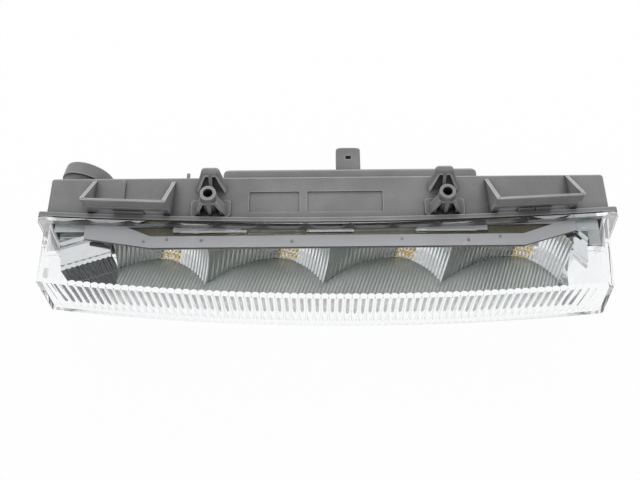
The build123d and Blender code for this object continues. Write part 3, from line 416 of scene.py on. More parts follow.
@dataclass(frozen=True)
class GrainFinish:
    """Solid finish with fine grain and a cloudy tone: plastics, metals, masks and rubbers; it can also paint
    shade into hollows, a highlight onto edges and a glow.
    """

    slot: Slot
    colour: Colour
    rough: float
    metal: float = 0.0
    grain_scale: float = 2400.0
    grain_stretch: float = 1.0
    grain_depth: float = 0.00002
    grain_share: float = 0.6
    speckle: float = 0.12
    clouds: float = 0.12
    cloud_scale: float = 40.0
    gloss_change: float = 0.08
    coat: float = 0.0
    # Strength of the painted shade in hollows, its reach, and strength of the painted highlight on edges.
    painted_cavity_shade: float = 0.0
    painted_shade_reach: float = 0.006
    edge: float = 0.0
    # Glow strength: a surface that glows though it is no lamp, painted light.
    glow: float = 0.0
    look: Look | None = None

    def build(self, effects: Effects) -> bpy.types.Material:
        """Builds the material.

        Args:
            effects: Shared shader groups.

        Returns:
            The material.
        """
        material, shader, surface = start_material((self.look or self.slot).value)
        grain = effects.place(shader, effects.grain, Scale=self.grain_scale, Stretch=self.grain_stretch)
        patina = effects.place(shader, effects.patina, Scale=self.cloud_scale)
        light = tuple(min(1.0, c * (1 + self.clouds)) for c in self.colour) + OPAQUE
        dark = tuple(c * (1 - self.clouds) for c in self.colour) + OPAQUE
        tone = shader.blend(patina.outputs["Tone"], dark, light)
        shade = shader.vary(grain.outputs["Speckle"], 1 - self.speckle, 1 + self.speckle)
        colour = shader.blend(1.0, tone, shade, "MULTIPLY")
        # Painted shade darkens the hollows and a painted highlight lightens the edges.
        if self.painted_cavity_shade > 0:
            painted_relief = effects.place(shader, effects.painted_relief, Reach=self.painted_shade_reach)
            painted_hollow_shade = shader.vary(painted_relief.outputs["Open"], 1 - self.painted_cavity_shade, 1.0)
            painted_edge_light = shader.vary(painted_relief.outputs["Edge"], 1.0, 1 + self.edge)
            colour = shader.blend(1.0, colour, shader.math("MULTIPLY", painted_hollow_shade, painted_edge_light), "MULTIPLY")
        shader.link(colour, surface.inputs["Base Color"])
        spare = self.gloss_change / 2
        rough = shader.vary(patina.outputs["Gloss"], self.rough - spare, self.rough + spare)
        shader.link(rough, surface.inputs["Roughness"])
        surface.inputs["Metallic"].default_value = self.metal
        surface.inputs["Coat Weight"].default_value = self.coat
        # Emission in the finish's own colour: painted light wherever the glow is above zero.
        surface.inputs["Emission Color"].default_value = self.colour + OPAQUE
        surface.inputs["Emission Strength"].default_value = self.glow
        normal = shader.bump(grain.outputs["Height"], self.grain_depth, self.grain_share)
        shader.link(normal, surface.inputs["Normal"])
        return material


@dataclass(frozen=True)
class StepFinish:
    """Finish with a darker tone between two heights and two ends: a dark band on the trim, painted shade
    below the top of the plate, and a bead whose pale ends are painted light.
    """

    slot: Slot
    upper: Colour
    lower: Colour
    edge: float
    rough: float
    metal: float = 0.0
    grain_stretch: float = 1.0
    lower_span: Span = (-1.0, 1.0)
    lower_foot: float = -1.0
    blur: float = 0.0001
    cloud_scale: float = 50.0
    clouds: float = 0.04
    grain_scale: float = 900.0
    grain_depth: float = 0.000002
    grain_share: float = 0.5
    speckle: float = 0.03
    gloss_change: float = 0.06
    look: Look | None = None

    def build(self, effects: Effects) -> bpy.types.Material:
        """Builds the material.

        Args:
            effects: Shared shader groups.

        Returns:
            The material.
        """
        material, shader, surface = start_material((self.look or self.slot).value)
        patina = effects.place(shader, effects.patina, Scale=self.cloud_scale)
        grain = effects.place(shader, effects.grain, Scale=self.grain_scale, Stretch=self.grain_stretch)
        parts = shader.add("SeparateXYZ")
        shader.link(shader.add("TexCoord").outputs["Object"], parts.inputs[0])
        x, _, z = parts.outputs
        first, last = self.lower_span
        above = shader.spread(z, self.edge - self.blur, self.edge + self.blur)
        upright = shader.math("MAXIMUM", above, shader.math("LESS_THAN", z, self.lower_foot))
        left = shader.math("LESS_THAN", x, first)
        right = shader.math("GREATER_THAN", x, last)
        plain = shader.math("MAXIMUM", upright, shader.math("MAXIMUM", left, right))
        tone = shader.blend(plain, self.lower + OPAQUE, self.upper + OPAQUE)
        haze = shader.vary(patina.outputs["Tone"], 1 - self.clouds, 1.0)
        shade = shader.vary(grain.outputs["Speckle"], 1 - self.speckle, 1 + self.speckle)
        cloudy = shader.blend(1.0, tone, haze, "MULTIPLY")
        shader.link(shader.blend(1.0, cloudy, shade, "MULTIPLY"), surface.inputs["Base Color"])
        if self.metal > 0:
            shader.link(shader.math("MULTIPLY", plain, self.metal), surface.inputs["Metallic"])
        spare = self.gloss_change / 2
        rough = shader.vary(patina.outputs["Gloss"], self.rough - spare, self.rough + spare)
        shader.link(rough, surface.inputs["Roughness"])
        normal = shader.bump(grain.outputs["Height"], self.grain_depth, self.grain_share)
        shader.link(normal, surface.inputs["Normal"])
        return material


@dataclass(frozen=True)
class ClearFinish:
    """Clear polished polycarbonate that lets lamps through."""

    slot: Slot = Slot.LENS
    look: Look | None = None
    tint: Colour = (0.99, 0.995, 1.0)
    through: Colour = (0.98, 0.985, 0.99)
    index: float = 1.33
    rough: float = 0.012
    gloss_change: float = 0.5
    cloud_scale: float = 60.0
    clouds: float = 0.015
    wave_scale: float = 90.0
    wave_detail: float = 1.0
    wave_depth: float = 0.000004
    wave_share: float = 0.4
    turns: float = 2.5

    def build(self, effects: Effects) -> bpy.types.Material:
        """Builds the material.

        Args:
            effects: Shared shader groups.

        Returns:
            The material.
        """
        material, shader, surface = start_material(self.slot.value)
        patina = effects.place(shader, effects.patina, Scale=self.cloud_scale)
        pale = tuple(c * (1 - self.clouds) for c in self.tint) + OPAQUE
        tone = shader.blend(patina.outputs["Tone"], pale, self.tint + OPAQUE)
        shader.link(tone, surface.inputs["Base Color"])
        spare = self.rough * self.gloss_change
        rough = shader.vary(patina.outputs["Gloss"], self.rough - spare, self.rough + spare)
        shader.link(rough, surface.inputs["Roughness"])
        surface.inputs["IOR"].default_value = self.index
        surface.inputs["Transmission Weight"].default_value = 1.0
        waves = shader.noise(self.wave_scale, self.wave_detail)
        shader.link(shader.bump(waves, self.wave_depth, self.wave_share), surface.inputs["Normal"])
        clear = shader.add("BsdfTransparent")
        clear.inputs["Color"].default_value = self.through + OPAQUE
        path = shader.add("LightPath")
        trapped = shader.math("GREATER_THAN", path.outputs["Glossy Depth"], self.turns)
        passed = shader.math("MAXIMUM", path.outputs["Is Shadow Ray"], trapped)
        end_material(shader, shader.layer(passed, surface.outputs[0], clear.outputs[0]))
        return material


FINISHES: list[GrainFinish | StepFinish | ClearFinish] = [
    # Housing: painted shade in its hollows and a painted highlight on its edges.
    GrainFinish(Slot.HOUSING, (0.2, 0.2, 0.204), 0.5, grain_depth=0.00003, painted_cavity_shade=0.85, edge=1.1),
    ClearFinish(),
    GrainFinish(Slot.SEAL, (0.045, 0.045, 0.047), 0.55, speckle=0.2),
    GrainFinish(Slot.MIRROR, (0.86, 0.87, 0.88), 0.05, 1.0, 900.0, grain_depth=0.000002, speckle=0.02,
                clouds=0.03, gloss_change=0.03),
    GrainFinish(Slot.MIRROR, (0.76, 0.81, 0.79), 0.32, 0.4, 900.0, grain_depth=0.000004, speckle=0.04,
                clouds=0.05, look=Look.SATIN_FLOOR),
    # Left walls of the bowls: a darker copy of the aluminised coating, painted shade.
    GrainFinish(Slot.MIRROR, (0.31, 0.325, 0.31), 0.13, 0.9, 900.0, grain_depth=0.000004, speckle=0.04,
                clouds=0.05, look=Look.SATIN_FLANK_PAINTED_SHADE),
    # Gold tint of the small domes behind the emitters: painted reflection of the yellow phosphors.
    GrainFinish(Slot.MIRROR, (0.95, 0.74, 0.32), 0.12, 1.0, 900.0, grain_depth=0.000002, speckle=0.03,
                clouds=0.05, look=Look.GOLD_PAINTED_REFLECTION),
    StepFinish(Slot.MIRROR, (0.86, 0.87, 0.88), (0.055, 0.058, 0.06), -0.0322, 0.12, 1.0,
               lower_span=(-1.0, 0.0), lower_foot=-0.0497, look=Look.FLUTED_TRIM),
    # Seal bead black in the middle; its pale ends are painted light.
    StepFinish(Slot.SEAL, (0.95, 0.95, 0.96), (0.045, 0.045, 0.047), 1.0, 0.55, lower_span=(-0.14, 0.14),
               look=Look.SEAL_BEAD),
    # Heat sink plate darker below its top: painted shade on its front edge and underside.
    StepFinish(Slot.SINK, (0.8, 0.8, 0.82), (0.07, 0.07, 0.072), -0.0197, 0.42, grain_stretch=12.0),
    GrainFinish(Slot.BOARD, (0.24, 0.225, 0.15), 0.35, grain_scale=700.0, speckle=0.15, coat=0.3),
    GrainFinish(Slot.PACKAGE, (0.82, 0.82, 0.8), 0.4, speckle=0.04, clouds=0.04),
    # The phosphor glows a little: painted light on the unlit emitters.
    GrainFinish(Slot.PHOSPHOR, (0.86, 0.58, 0.06), 0.35, clouds=0.1, cloud_scale=900.0, glow=0.45),
    GrainFinish(Slot.SCREW, (0.62, 0.62, 0.63), 0.3, 1.0, 1500.0, speckle=0.08),
    GrainFinish(Slot.PIN, (0.72, 0.62, 0.42), 0.25, 1.0, 1500.0, 8.0, speckle=0.06),
    # Breather cap: painted shade in its hollows and a painted highlight on its edges.
    GrainFinish(Slot.CAP, (0.21, 0.21, 0.214), 0.48, grain_depth=0.00003, painted_cavity_shade=0.6, edge=0.8),
    GrainFinish(Slot.MEMBRANE, (0.85, 0.85, 0.85), 0.8, grain_scale=3500.0, speckle=0.08),
    GrainFinish(Slot.DRIVER, (0.03, 0.12, 0.04), 0.35, grain_scale=600.0, speckle=0.2, coat=0.3),
    GrainFinish(Slot.FERRITE, (0.03, 0.03, 0.032), 0.6, speckle=0.25),
    GrainFinish(Slot.CAN, (0.7, 0.7, 0.72), 0.3, 1.0, 1200.0, 10.0, speckle=0.05),
    GrainFinish(Slot.CHIP, (0.02, 0.02, 0.021), 0.5, speckle=0.25),
    GrainFinish(Slot.HEADER, (0.75, 0.73, 0.66), 0.45, speckle=0.06),
    GrainFinish(Slot.RED_LEAD, (0.4, 0.02, 0.015), 0.45, speckle=0.08),
    GrainFinish(Slot.BLACK_LEAD, (0.02, 0.02, 0.02), 0.45, speckle=0.15),
]


class Palette:
    """All finishes of the lamp, by slot or look."""

    def __init__(self, effects: Effects) -> None:
        """Builds every finish once."""
        self.materials = {finish.look or finish.slot: finish.build(effects) for finish in FINISHES}

    def dress(self, piece: bpy.types.Object, look: Slot | Look) -> None:
        """Gives a piece one finish.

        Args:
            piece: Object to dress.
            look: Finish slot, or a look of its own.
        """
        piece.data.materials.clear()
        piece.data.materials.append(self.materials[look])


class Field:
    """Number that a Geometry Nodes tree works out, with the usual arithmetic."""

    def __init__(self, tree: bpy.types.NodeTree, socket: bpy.types.NodeSocket) -> None:
        """Keeps the tree and the socket."""
        self.tree = tree
        self.socket = socket

    def apply(self, operation: str, other: "Field | float" = 0.0) -> "Field":
        """Adds a Math node behind this value.

        Args:
            operation: Name of the operation.
            other: Second value.

        Returns:
            The result.
        """
        node = self.tree.nodes.new("ShaderNodeMath")
        node.operation = operation
        self.tree.links.new(self.socket, node.inputs[0])
        if isinstance(other, Field):
            self.tree.links.new(other.socket, node.inputs[1])
        else:
            node.inputs[1].default_value = other
        return Field(self.tree, node.outputs[0])

    def __add__(self, other: "Field | float") -> "Field":
        """Sum of two values."""
        return self.apply("ADD", other)

    def __sub__(self, other: "Field | float") -> "Field":
        """Difference of two values."""
        return self.apply("SUBTRACT", other)

    def __mul__(self, other: "Field | float") -> "Field":
        """Product of two values."""
        return self.apply("MULTIPLY", other)

    def __truediv__(self, other: "Field | float") -> "Field":
        """Quotient of two values."""
        return self.apply("DIVIDE", other)

    def low(self, other: "Field | float") -> "Field":
        """Lower of two values."""
        return self.apply("MINIMUM", other)

    def high(self, other: "Field | float") -> "Field":
        """Higher of two values."""
        return self.apply("MAXIMUM", other)

    def whole(self) -> "Field":
        """Nearest whole number."""
        return (self + 0.5).apply("FLOOR")


def settle(piece: bpy.types.Object, modifier: bpy.types.Modifier) -> None:
    """Turns a piece and its only modifier into a plain mesh.

    Args:
        piece: Linked object.
        modifier: Modifier to apply and remove.
    """
    bpy.context.view_layer.update()
    graph = bpy.context.evaluated_depsgraph_get()
    mesh = bpy.data.meshes.new_from_object(piece.evaluated_get(graph))
    piece.modifiers.remove(modifier)
    former = piece.data
    piece.data = mesh
    bpy.data.meshes.remove(former)
    mesh.name = piece.name


class Recipe:
    """Geometry Nodes tree with named number inputs, and points that it may start from."""

    def __init__(self, name: str, sizes: dict[str, float], counts: dict[str, int]) -> None:
        """Starts the tree.

        Args:
            name: Tree name.
            sizes: Names and values of its number inputs.
            counts: Names and values of its whole number inputs.
        """
        self.tree = bpy.data.node_groups.new(name, "GeometryNodeTree")
        self.values: dict[str, float | int] = {}
        self.keys: dict[str, str] = {}
        self.tree.interface.new_socket("Spots", in_out="INPUT", socket_type="NodeSocketGeometry")
        for kind, inputs in (("NodeSocketFloat", sizes), ("NodeSocketInt", counts)):
            for label, value in inputs.items():
                socket = self.tree.interface.new_socket(label, in_out="INPUT", socket_type=kind)
                self.keys[label] = socket.identifier
                self.values[label] = value
        self.tree.interface.new_socket("Geometry", in_out="OUTPUT", socket_type="NodeSocketGeometry")
        self.entry = self.tree.nodes.new("NodeGroupInput")
        self.leave = self.tree.nodes.new("NodeGroupOutput")
        self.sheet: bpy.types.NodeSocket | None = None

    def add(self, kind: str, **settings: object) -> bpy.types.Node:
        """Adds a node.

        Args:
            kind: Full node type.
            settings: Values of the node's own properties.

        Returns:
            The new node.
        """
        node = self.tree.nodes.new(kind)
        for name, value in settings.items():
            setattr(node, name, value)
        return node

    def behind(self, geometry: bpy.types.NodeSocket, kind: str, **settings: object) -> bpy.types.Node:
        """Adds a node that takes a geometry.

        Args:
            geometry: Geometry for the node's first input.
            kind: Full node type.
            settings: Values of the node's own properties.

        Returns:
            The new node.
        """
        node = self.add(kind, **settings)
        self.link(geometry, node.inputs[0])
        return node

    def link(self, source: bpy.types.NodeSocket, target: bpy.types.NodeSocket) -> None:
        """Links an output to an input."""
        self.tree.links.new(source, target)

    def value(self, label: str) -> Field:
        """Named input as a number."""
        return Field(self.tree, self.entry.outputs[label])

    def between(self, first: str, last: str, share: Field) -> Field:
        """Number a share of the way from one named input to another."""
        return self.value(first) + share * (self.value(last) - self.value(first))

    def vector(self, x: Field | float, y: Field | float, z: Field | float) -> bpy.types.NodeSocket:
        """Vector of three numbers.

        Args:
            x: First number.
            y: Second number.
            z: Third number.

        Returns:
            The vector socket.
        """
        node = self.add("ShaderNodeCombineXYZ")
        for part, socket in zip((x, y, z), node.inputs):
            if isinstance(part, Field):
                self.link(part.socket, socket)
            else:
                socket.default_value = part
        return node.outputs[0]

    def close(self, geometry: bpy.types.NodeSocket, material: bpy.types.Material) -> None:
        """Ends the tree with realized instances and a finish.

        Args:
            geometry: Geometry to hand out.
            material: Finish of the result.
        """
        real = self.behind(geometry, "GeometryNodeRealizeInstances")
        paint = self.behind(real.outputs[0], "GeometryNodeSetMaterial")
        paint.inputs["Material"].default_value = material
        self.link(paint.outputs[0], self.leave.inputs[0])

    def bake(self, name: str, spots: tuple[Point, ...] = ()) -> bpy.types.Object:
        """Turns the tree's result into a plain mesh object.

        Args:
            name: Piece name.
            spots: Points that the tree takes in, in millimetres of the row frame.

        Returns:
            The linked object.
        """
        points = bpy.data.meshes.new(name)
        points.from_pydata([Vector(spot) * MM for spot in spots], [], [])
        holder = bpy.data.objects.new(name, points)
        bpy.context.scene.collection.objects.link(holder)
        modifier = holder.modifiers.new("recipe", "NODES")
        modifier.node_group = self.tree
        for label, value in self.values.items():
            modifier[self.keys[label]] = value
        settle(holder, modifier)
        return holder


class Blank:
    """Mesh that closed rods and boxes are added to, in millimetres of the row frame."""

    rod_sides: int = 24

    def __init__(self) -> None:
        """Starts an empty mesh."""
        self.mesh = bmesh.new()

    def rod(self, place: Point, radius: float, length: float) -> None:
        """Adds a rod that lies along x.

        Args:
            place: Middle of the rod.
            radius: Its radius.
            length: Its length.
        """
        spot = Matrix.Translation(Vector(place) * MM) @ Matrix.Rotation(math.pi / 2, 4, "Y")
        size = radius * MM
        bmesh.ops.create_cone(self.mesh, cap_ends=True, segments=self.rod_sides, radius1=size, radius2=size,
                              depth=length * MM, matrix=spot)

    def box(self, low: Point, high: Point) -> None:
        """Adds a box.

        Args:
            low: Lowest corner.
            high: Highest corner.
        """
        middle = (Vector(low) + Vector(high)) / 2 * MM
        size = (Vector(high) - Vector(low)) * MM
        spot = Matrix.Translation(middle) @ Matrix.Diagonal(size).to_4x4()
        bmesh.ops.create_cube(self.mesh, size=1.0, matrix=spot)

    def piece(self, name: str) -> bpy.types.Object:
        """Turns the mesh into a linked object and frees it.

        Args:
            name: Piece name.

        Returns:
            The object.
        """
        data = bpy.data.meshes.new(name)
        self.mesh.to_mesh(data)
        self.mesh.free()
        piece = bpy.data.objects.new(name, data)
        bpy.context.scene.collection.objects.link(piece)
        return piece


@dataclass
class LampFrame:
    """CAD solids of the lamp and the calls that tie pieces to them."""

    nodes: dict[str, bpy.types.Object]
    palette: Palette

    def dress(self, looks: dict[str, Slot | Look]) -> None:
        """Gives CAD nodes their finishes.

        Args:
            looks: Node names and their finishes.
        """
        for node, look in looks.items():
            self.palette.dress(self.nodes[node], look)
            LOG.info("dressed %s as %s", node, look.value)

    def add(self, piece: bpy.types.Object, slot: Slot, look: Look | None = None) -> None:
        """Ties a new piece to the lamp.

        Args:
            piece: Piece in place.
            slot: Its finish slot.
            look: Its finish, where it isn't the usual one of the slot.
        """
        self.palette.dress(piece, look or slot)
        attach(piece, BODY)
        LOG.info("added %s with %d faces", piece.name, len(piece.data.polygons))


@dataclass
class Optics:
    """Mirrored bowls and bezel behind the lens, in millimetres of the row frame."""

    focal: float = 13.6
    yaw: float = 20.0
    pitch: float = 63.0
    cells: int = 4
    first_x: float = -82.72
    focus_y: float = -18.4
    emitter_z: float = -23.7
    ridge_low: float = -39.5
    ridge_high: float = 19.7
    top: float = -0.3
    floor: float = -24.3
    left_end: float = -112.9
    right_end: float = 126.4
    flutes: int = 32
    flute_points: int = 6
    flute_depth: float = 0.4
    bands: int = 8
    band_points: int = 8
    band_depth: float = 0.5
    band_side: float = -5.0
    band_reach: float = 9.0
    satin_share: float = 0.54
    groove_depth: float = 0.3
    groove_rows: int = 5
    pebble_radius: float = 0.75
    pebble_lift: float = 0.75
    pebble_sides: Span = (-7.5, 0.5)
    pebble_drops: Span = (-17.5, -23.2)
    pebble_scales: Span = (0.7, 1.15)
    pebble_stagger: float = 0.5
    pebble_columns: int = 5
    pebble_rows: int = 5
    pebble_rounds: int = 3
    pebble_seed: int = 4
    lift: float = 0.06
    skin: float = 0.04
    front_middle: float = -43.3
    front_bow: float = 8.0
    front_skew: float = 2.3
    body_half: float = 144.8
    nudge: float = 0.00001
    merge: float = 0.000001

    def build(self, frame: LampFrame) -> None:
        """Makes the fluted walls, the grooved floors and the small facets of the bowls.

        Args:
            frame: CAD solids and finishes.
        """
        materials = frame.palette.materials
        walls = self.make_walls("bowl_walls", (self.satin_share, 1.0), materials[Slot.MIRROR])
        # The left flanks take the darker copy of the coating, painted shade.
        flanks = self.make_walls("bowl_flanks", (0.0, self.satin_share), materials[Look.SATIN_FLANK_PAINTED_SHADE])
        floors = self.make_floors("bowl_floors", materials[Look.SATIN_FLOOR])
        for sheet in (walls, flanks, floors):
            self.trim(sheet)
            self.thicken(sheet)
        frame.add(walls, Slot.MIRROR)
        frame.add(flanks, Slot.MIRROR, Look.SATIN_FLANK_PAINTED_SHADE)
        frame.add(floors, Slot.MIRROR, Look.SATIN_FLOOR)
        # Gold domes: painted reflection of the yellow phosphors.
        pebbles = self.make_pebbles("bowl_pebbles", materials[Look.GOLD_PAINTED_REFLECTION])
        frame.add(pebbles, Slot.MIRROR, Look.GOLD_PAINTED_REFLECTION)

    def dress(self, frame: LampFrame) -> None:
        """Dresses the solid reflector and bezel."""
        frame.dress({"reflector": Slot.MIRROR, "bezel": Look.FLUTED_TRIM})

    def start(self, name: str, sizes: dict[str, float], columns: int,
              rows: int) -> tuple[Recipe, Field, Field]:
        """Starts a sheet over all the bowls.

        Args:
            name: Tree name.
            sizes: Sizes of its pattern in millimetres.
            columns: Points across all bowls.
            rows: Points down or along each bowl.

        Returns:
            The tree and its two shares from 0 to 1, across and down the sheet.
        """
        shared = {
            "Focal": self.focal, "Pitch": self.pitch, "Top": self.top, "Floor": self.floor,
            "Ridge Low": self.ridge_low, "Ridge High": self.ridge_high, "Lift": self.lift,
            "Front": self.front_middle, "Front Bow": self.front_bow, "Front Skew": self.front_skew,
            "Body Half": self.body_half,
        }
        lengths = {label: value * MM for label, value in (shared | sizes).items()}
        recipe = Recipe(name, lengths, {"Columns": columns, "Rows": rows, "Cells": self.cells})
        grid = recipe.add("GeometryNodeMeshGrid")
        recipe.link(recipe.entry.outputs["Columns"], grid.inputs["Vertices X"])
        recipe.link(recipe.entry.outputs["Rows"], grid.inputs["Vertices Y"])
        recipe.sheet = grid.outputs[0]
        parts = recipe.add("ShaderNodeSeparateXYZ")
        recipe.link(recipe.add("GeometryNodeInputPosition").outputs[0], parts.inputs[0])
        across, down = (Field(recipe.tree, parts.outputs[axis]) + GRID_HALF for axis in ("X", "Y"))
        return recipe, across, down

    def split(self, recipe: Recipe, across: Field) -> tuple[Field, Field]:
        """Finds the bowl and the share across it.

        Args:
            recipe: Tree of the sheet.
            across: Share across all bowls.

        Returns:
            Number of the bowl and share across it.
        """
        count = recipe.value("Cells")
        spot = across * count
        cell = (spot + self.nudge).apply("FLOOR").low(count - 1.0)
        return cell, spot - cell

    def plan(self, recipe: Recipe, cell: Field, side: Field, along: Field) -> tuple[Field, Field]:
        """Place in plan of a point given in a bowl's own turned directions.

        Args:
            recipe: Tree of the sheet.
            cell: Number of the bowl.
            side: Distance across the bowl's axis.
            along: Distance behind the bowl's vertex.

        Returns:
            The point's x and y.
        """
        turn = math.radians(self.yaw)
        vertex_x = (self.first_x + self.focal * math.sin(turn)) * MM
        vertex_y = (self.focus_y + self.focal * math.cos(turn)) * MM
        x = side * math.cos(turn) + along * math.sin(turn) + cell * recipe.value("Pitch") + vertex_x
        y = along * math.cos(turn) - side * math.sin(turn) + vertex_y
        return x, y

    def front(self, recipe: Recipe, x: Field) -> Field:
        """Front edge of the reflector at x.

        Args:
            recipe: Tree of the sheet.
            x: Place along the lamp.

        Returns:
            The edge's y.
        """
        share = x / recipe.value("Body Half")
        bowed = recipe.value("Front") + share * share * recipe.value("Front Bow")
        return bowed - share * recipe.value("Front Skew")

    def depth(self, recipe: Recipe, side: Field, drop: Field) -> Field:
        """Distance of a bowl's wall behind its vertex, which is never more than zero."""
        return (side * side + drop * drop) / (recipe.value("Focal") * -PARABOLA)

    def ripple(self, share: Field, count: int) -> Field:
        """Row of round humps, from 0 between them to 1."""
        return (share * (count * math.pi)).apply("SINE").apply("ABSOLUTE")

    def finish(self, recipe: Recipe, spot: bpy.types.NodeSocket, material: bpy.types.Material) -> None:
        """Puts the sheet's points in place, turns its faces to the front and closes the tree.

        Args:
            recipe: Tree of the sheet.
            spot: Place of each point.
            material: Finish.
        """
        shaped = recipe.behind(recipe.sheet, "GeometryNodeSetPosition")
        recipe.link(spot, shaped.inputs["Position"])
        turned = recipe.behind(shaped.outputs[0], "GeometryNodeFlipFaces")
        smooth = recipe.behind(turned.outputs[0], "GeometryNodeSetShadeSmooth")
        recipe.close(smooth.outputs[0], material)

    def keep(self, recipe: Recipe, share: Field, limits: Span) -> None:
        """Leaves only a share of each bowl on the sheet.

        Args:
            recipe: Tree of the sheet.
            share: Share across each bowl.
            limits: First and last share to keep.
        """
        below = share.apply("LESS_THAN", limits[0])
        above = share.apply("GREATER_THAN", limits[1])
        cut = recipe.behind(recipe.sheet, "GeometryNodeDeleteGeometry", domain="FACE")
        recipe.link((below + above).socket, cut.inputs["Selection"])
        recipe.sheet = cut.outputs[0]

    def make_walls(self, name: str, limits: Span, material: bpy.types.Material) -> bpy.types.Object:
        """Makes a share of the fluted walls of all bowls as one sheet.

        Args:
            name: Piece name.
            limits: First and last share of each bowl.
            material: Finish.

        Returns:
            The sheet, past both ends of the reflector.
        """
        sizes = {
            "Flute Depth": self.flute_depth, "Band Depth": self.band_depth, "Band Side": self.band_side,
            "Band Reach": self.band_reach,
        }
        columns = self.cells * self.flutes * self.flute_points + 1
        recipe, across, down = self.start(name, sizes, columns, self.bands * self.band_points + 1)
        cell, share = self.split(recipe, across)
        self.keep(recipe, share, limits)
        side = recipe.between("Ridge Low", "Ridge High", share)
        drop = recipe.between("Top", "Floor", down)
        apart = (side - recipe.value("Band Side")) / recipe.value("Band Reach")
        near = (apart * apart * -1.0 + 1.0).high(0.0)
        flute = self.ripple(share, self.flutes) * recipe.value("Flute Depth")
        band = near * self.ripple(down, self.bands) * recipe.value("Band Depth")
        along = self.depth(recipe, side, drop) - (recipe.value("Lift") + flute + band)
        x, y = self.plan(recipe, cell, side, along)
        spot = recipe.vector(x, y.high(self.front(recipe, x)), drop + self.emitter_z * MM)
        self.finish(recipe, spot, material)
        return recipe.bake(name)

    def make_floors(self, name: str, material: bpy.types.Material) -> bpy.types.Object:
        """Makes the grooved floors in front of the walls as one sheet.

        Args:
            name: Piece name.
            material: Satin finish.

        Returns:
            The sheet, past both ends of the reflector.
        """
        columns = self.cells * self.flutes * self.flute_points + 1
        sizes = {"Groove Depth": self.groove_depth}
        recipe, across, ahead = self.start(name, sizes, columns, self.groove_rows)
        cell, share = self.split(recipe, across)
        side = recipe.between("Ridge Low", "Ridge High", share)
        drop = recipe.value("Floor")
        foot = self.depth(recipe, side, drop)
        turn = math.radians(self.yaw)
        foot_x, foot_y = self.plan(recipe, cell, side, foot)
        run = foot_y - self.front(recipe, foot_x)
        run = foot_y - self.front(recipe, foot_x - run * math.tan(turn))
        reach = run.high(0.0) / math.cos(turn) * ahead
        x, y = self.plan(recipe, cell, side, foot - reach)
        rise = recipe.value("Lift") + self.ripple(share, self.flutes) * recipe.value("Groove Depth")
        self.finish(recipe, recipe.vector(x, y, drop + rise + self.emitter_z * MM), material)
        return recipe.bake(name)

    def make_pebbles(self, name: str, material: bpy.types.Material) -> bpy.types.Object:
        """Makes the small domed facets behind each emitter.

        Args:
            name: Piece name.
            material: Gold finish, a painted reflection of the yellow phosphors.

        Returns:
            All domes as one piece.
        """
        first, last = self.pebble_sides
        top, bottom = self.pebble_drops
        sizes = {
            "Side First": first, "Side Last": last, "Drop First": top, "Drop Last": bottom,
            "Radius": self.pebble_radius, "Rise": self.pebble_lift,
        }
        columns = self.cells * self.pebble_columns
        recipe, across, down = self.start(name, sizes, columns, self.pebble_rows)
        spot = (across * (columns - 1.0)).whole()
        cell = (spot / self.pebble_columns + self.nudge).apply("FLOOR")
        share = (spot - cell * self.pebble_columns) / (self.pebble_columns - 1.0)
        row = (down * (self.pebble_rows - 1.0)).whole()
        shift = (row.apply("MODULO", 2.0) - self.pebble_stagger) * recipe.value("Radius")
        side = recipe.between("Side First", "Side Last", share) + shift
        drop = recipe.between("Drop First", "Drop Last", down)
        along = self.depth(recipe, side, drop) - recipe.value("Rise")
        x, y = self.plan(recipe, cell, side, along)
        placed = recipe.behind(recipe.sheet, "GeometryNodeSetPosition")
        recipe.link(recipe.vector(x, y, drop + self.emitter_z * MM), placed.inputs["Position"])
        dome = recipe.add("GeometryNodeMeshIcoSphere")
        recipe.link(recipe.entry.outputs["Radius"], dome.inputs["Radius"])
        dome.inputs["Subdivisions"].default_value = self.pebble_rounds
        smooth = recipe.behind(dome.outputs[0], "GeometryNodeSetShadeSmooth")
        change = recipe.add("FunctionNodeRandomValue", data_type="FLOAT")
        for index, scale in zip(RANDOM_NUMBER_INPUTS, self.pebble_scales):
            change.inputs[index].default_value = scale
        change.inputs["Seed"].default_value = self.pebble_seed
        copies = recipe.behind(placed.outputs[0], "GeometryNodeInstanceOnPoints")
        recipe.link(smooth.outputs[0], copies.inputs["Instance"])
        recipe.link(change.outputs[RANDOM_NUMBER_OUTPUT], copies.inputs["Scale"])
        recipe.close(copies.outputs[0], material)
        return recipe.bake(name)

    def trim(self, sheet: bpy.types.Object) -> None:
        """Cuts a sheet off at both ends of the reflector.

        Args:
            sheet: Sheet to cut.
        """
        mesh = bmesh.new()
        mesh.from_mesh(sheet.data)
        for x, side in ((self.left_end, -1.0), (self.right_end, 1.0)):
            parts = mesh.verts[:] + mesh.edges[:] + mesh.faces[:]
            bmesh.ops.bisect_plane(mesh, geom=parts, plane_co=(x * MM, 0, 0), plane_no=(side, 0, 0),
                                   clear_outer=True)
        bmesh.ops.dissolve_degenerate(mesh, dist=self.merge, edges=mesh.edges[:])
        mesh.to_mesh(sheet.data)
        mesh.free()

    def thicken(self, sheet: bpy.types.Object) -> None:
        """Gives a sheet its plated skin as a closed shell.

        Args:
            sheet: Sheet to thicken.
        """
        solid = sheet.modifiers.new("skin", "SOLIDIFY")
        solid.thickness = self.skin * MM
        solid.offset = -1.0
        settle(sheet, solid)
        sheet.data.shade_smooth()


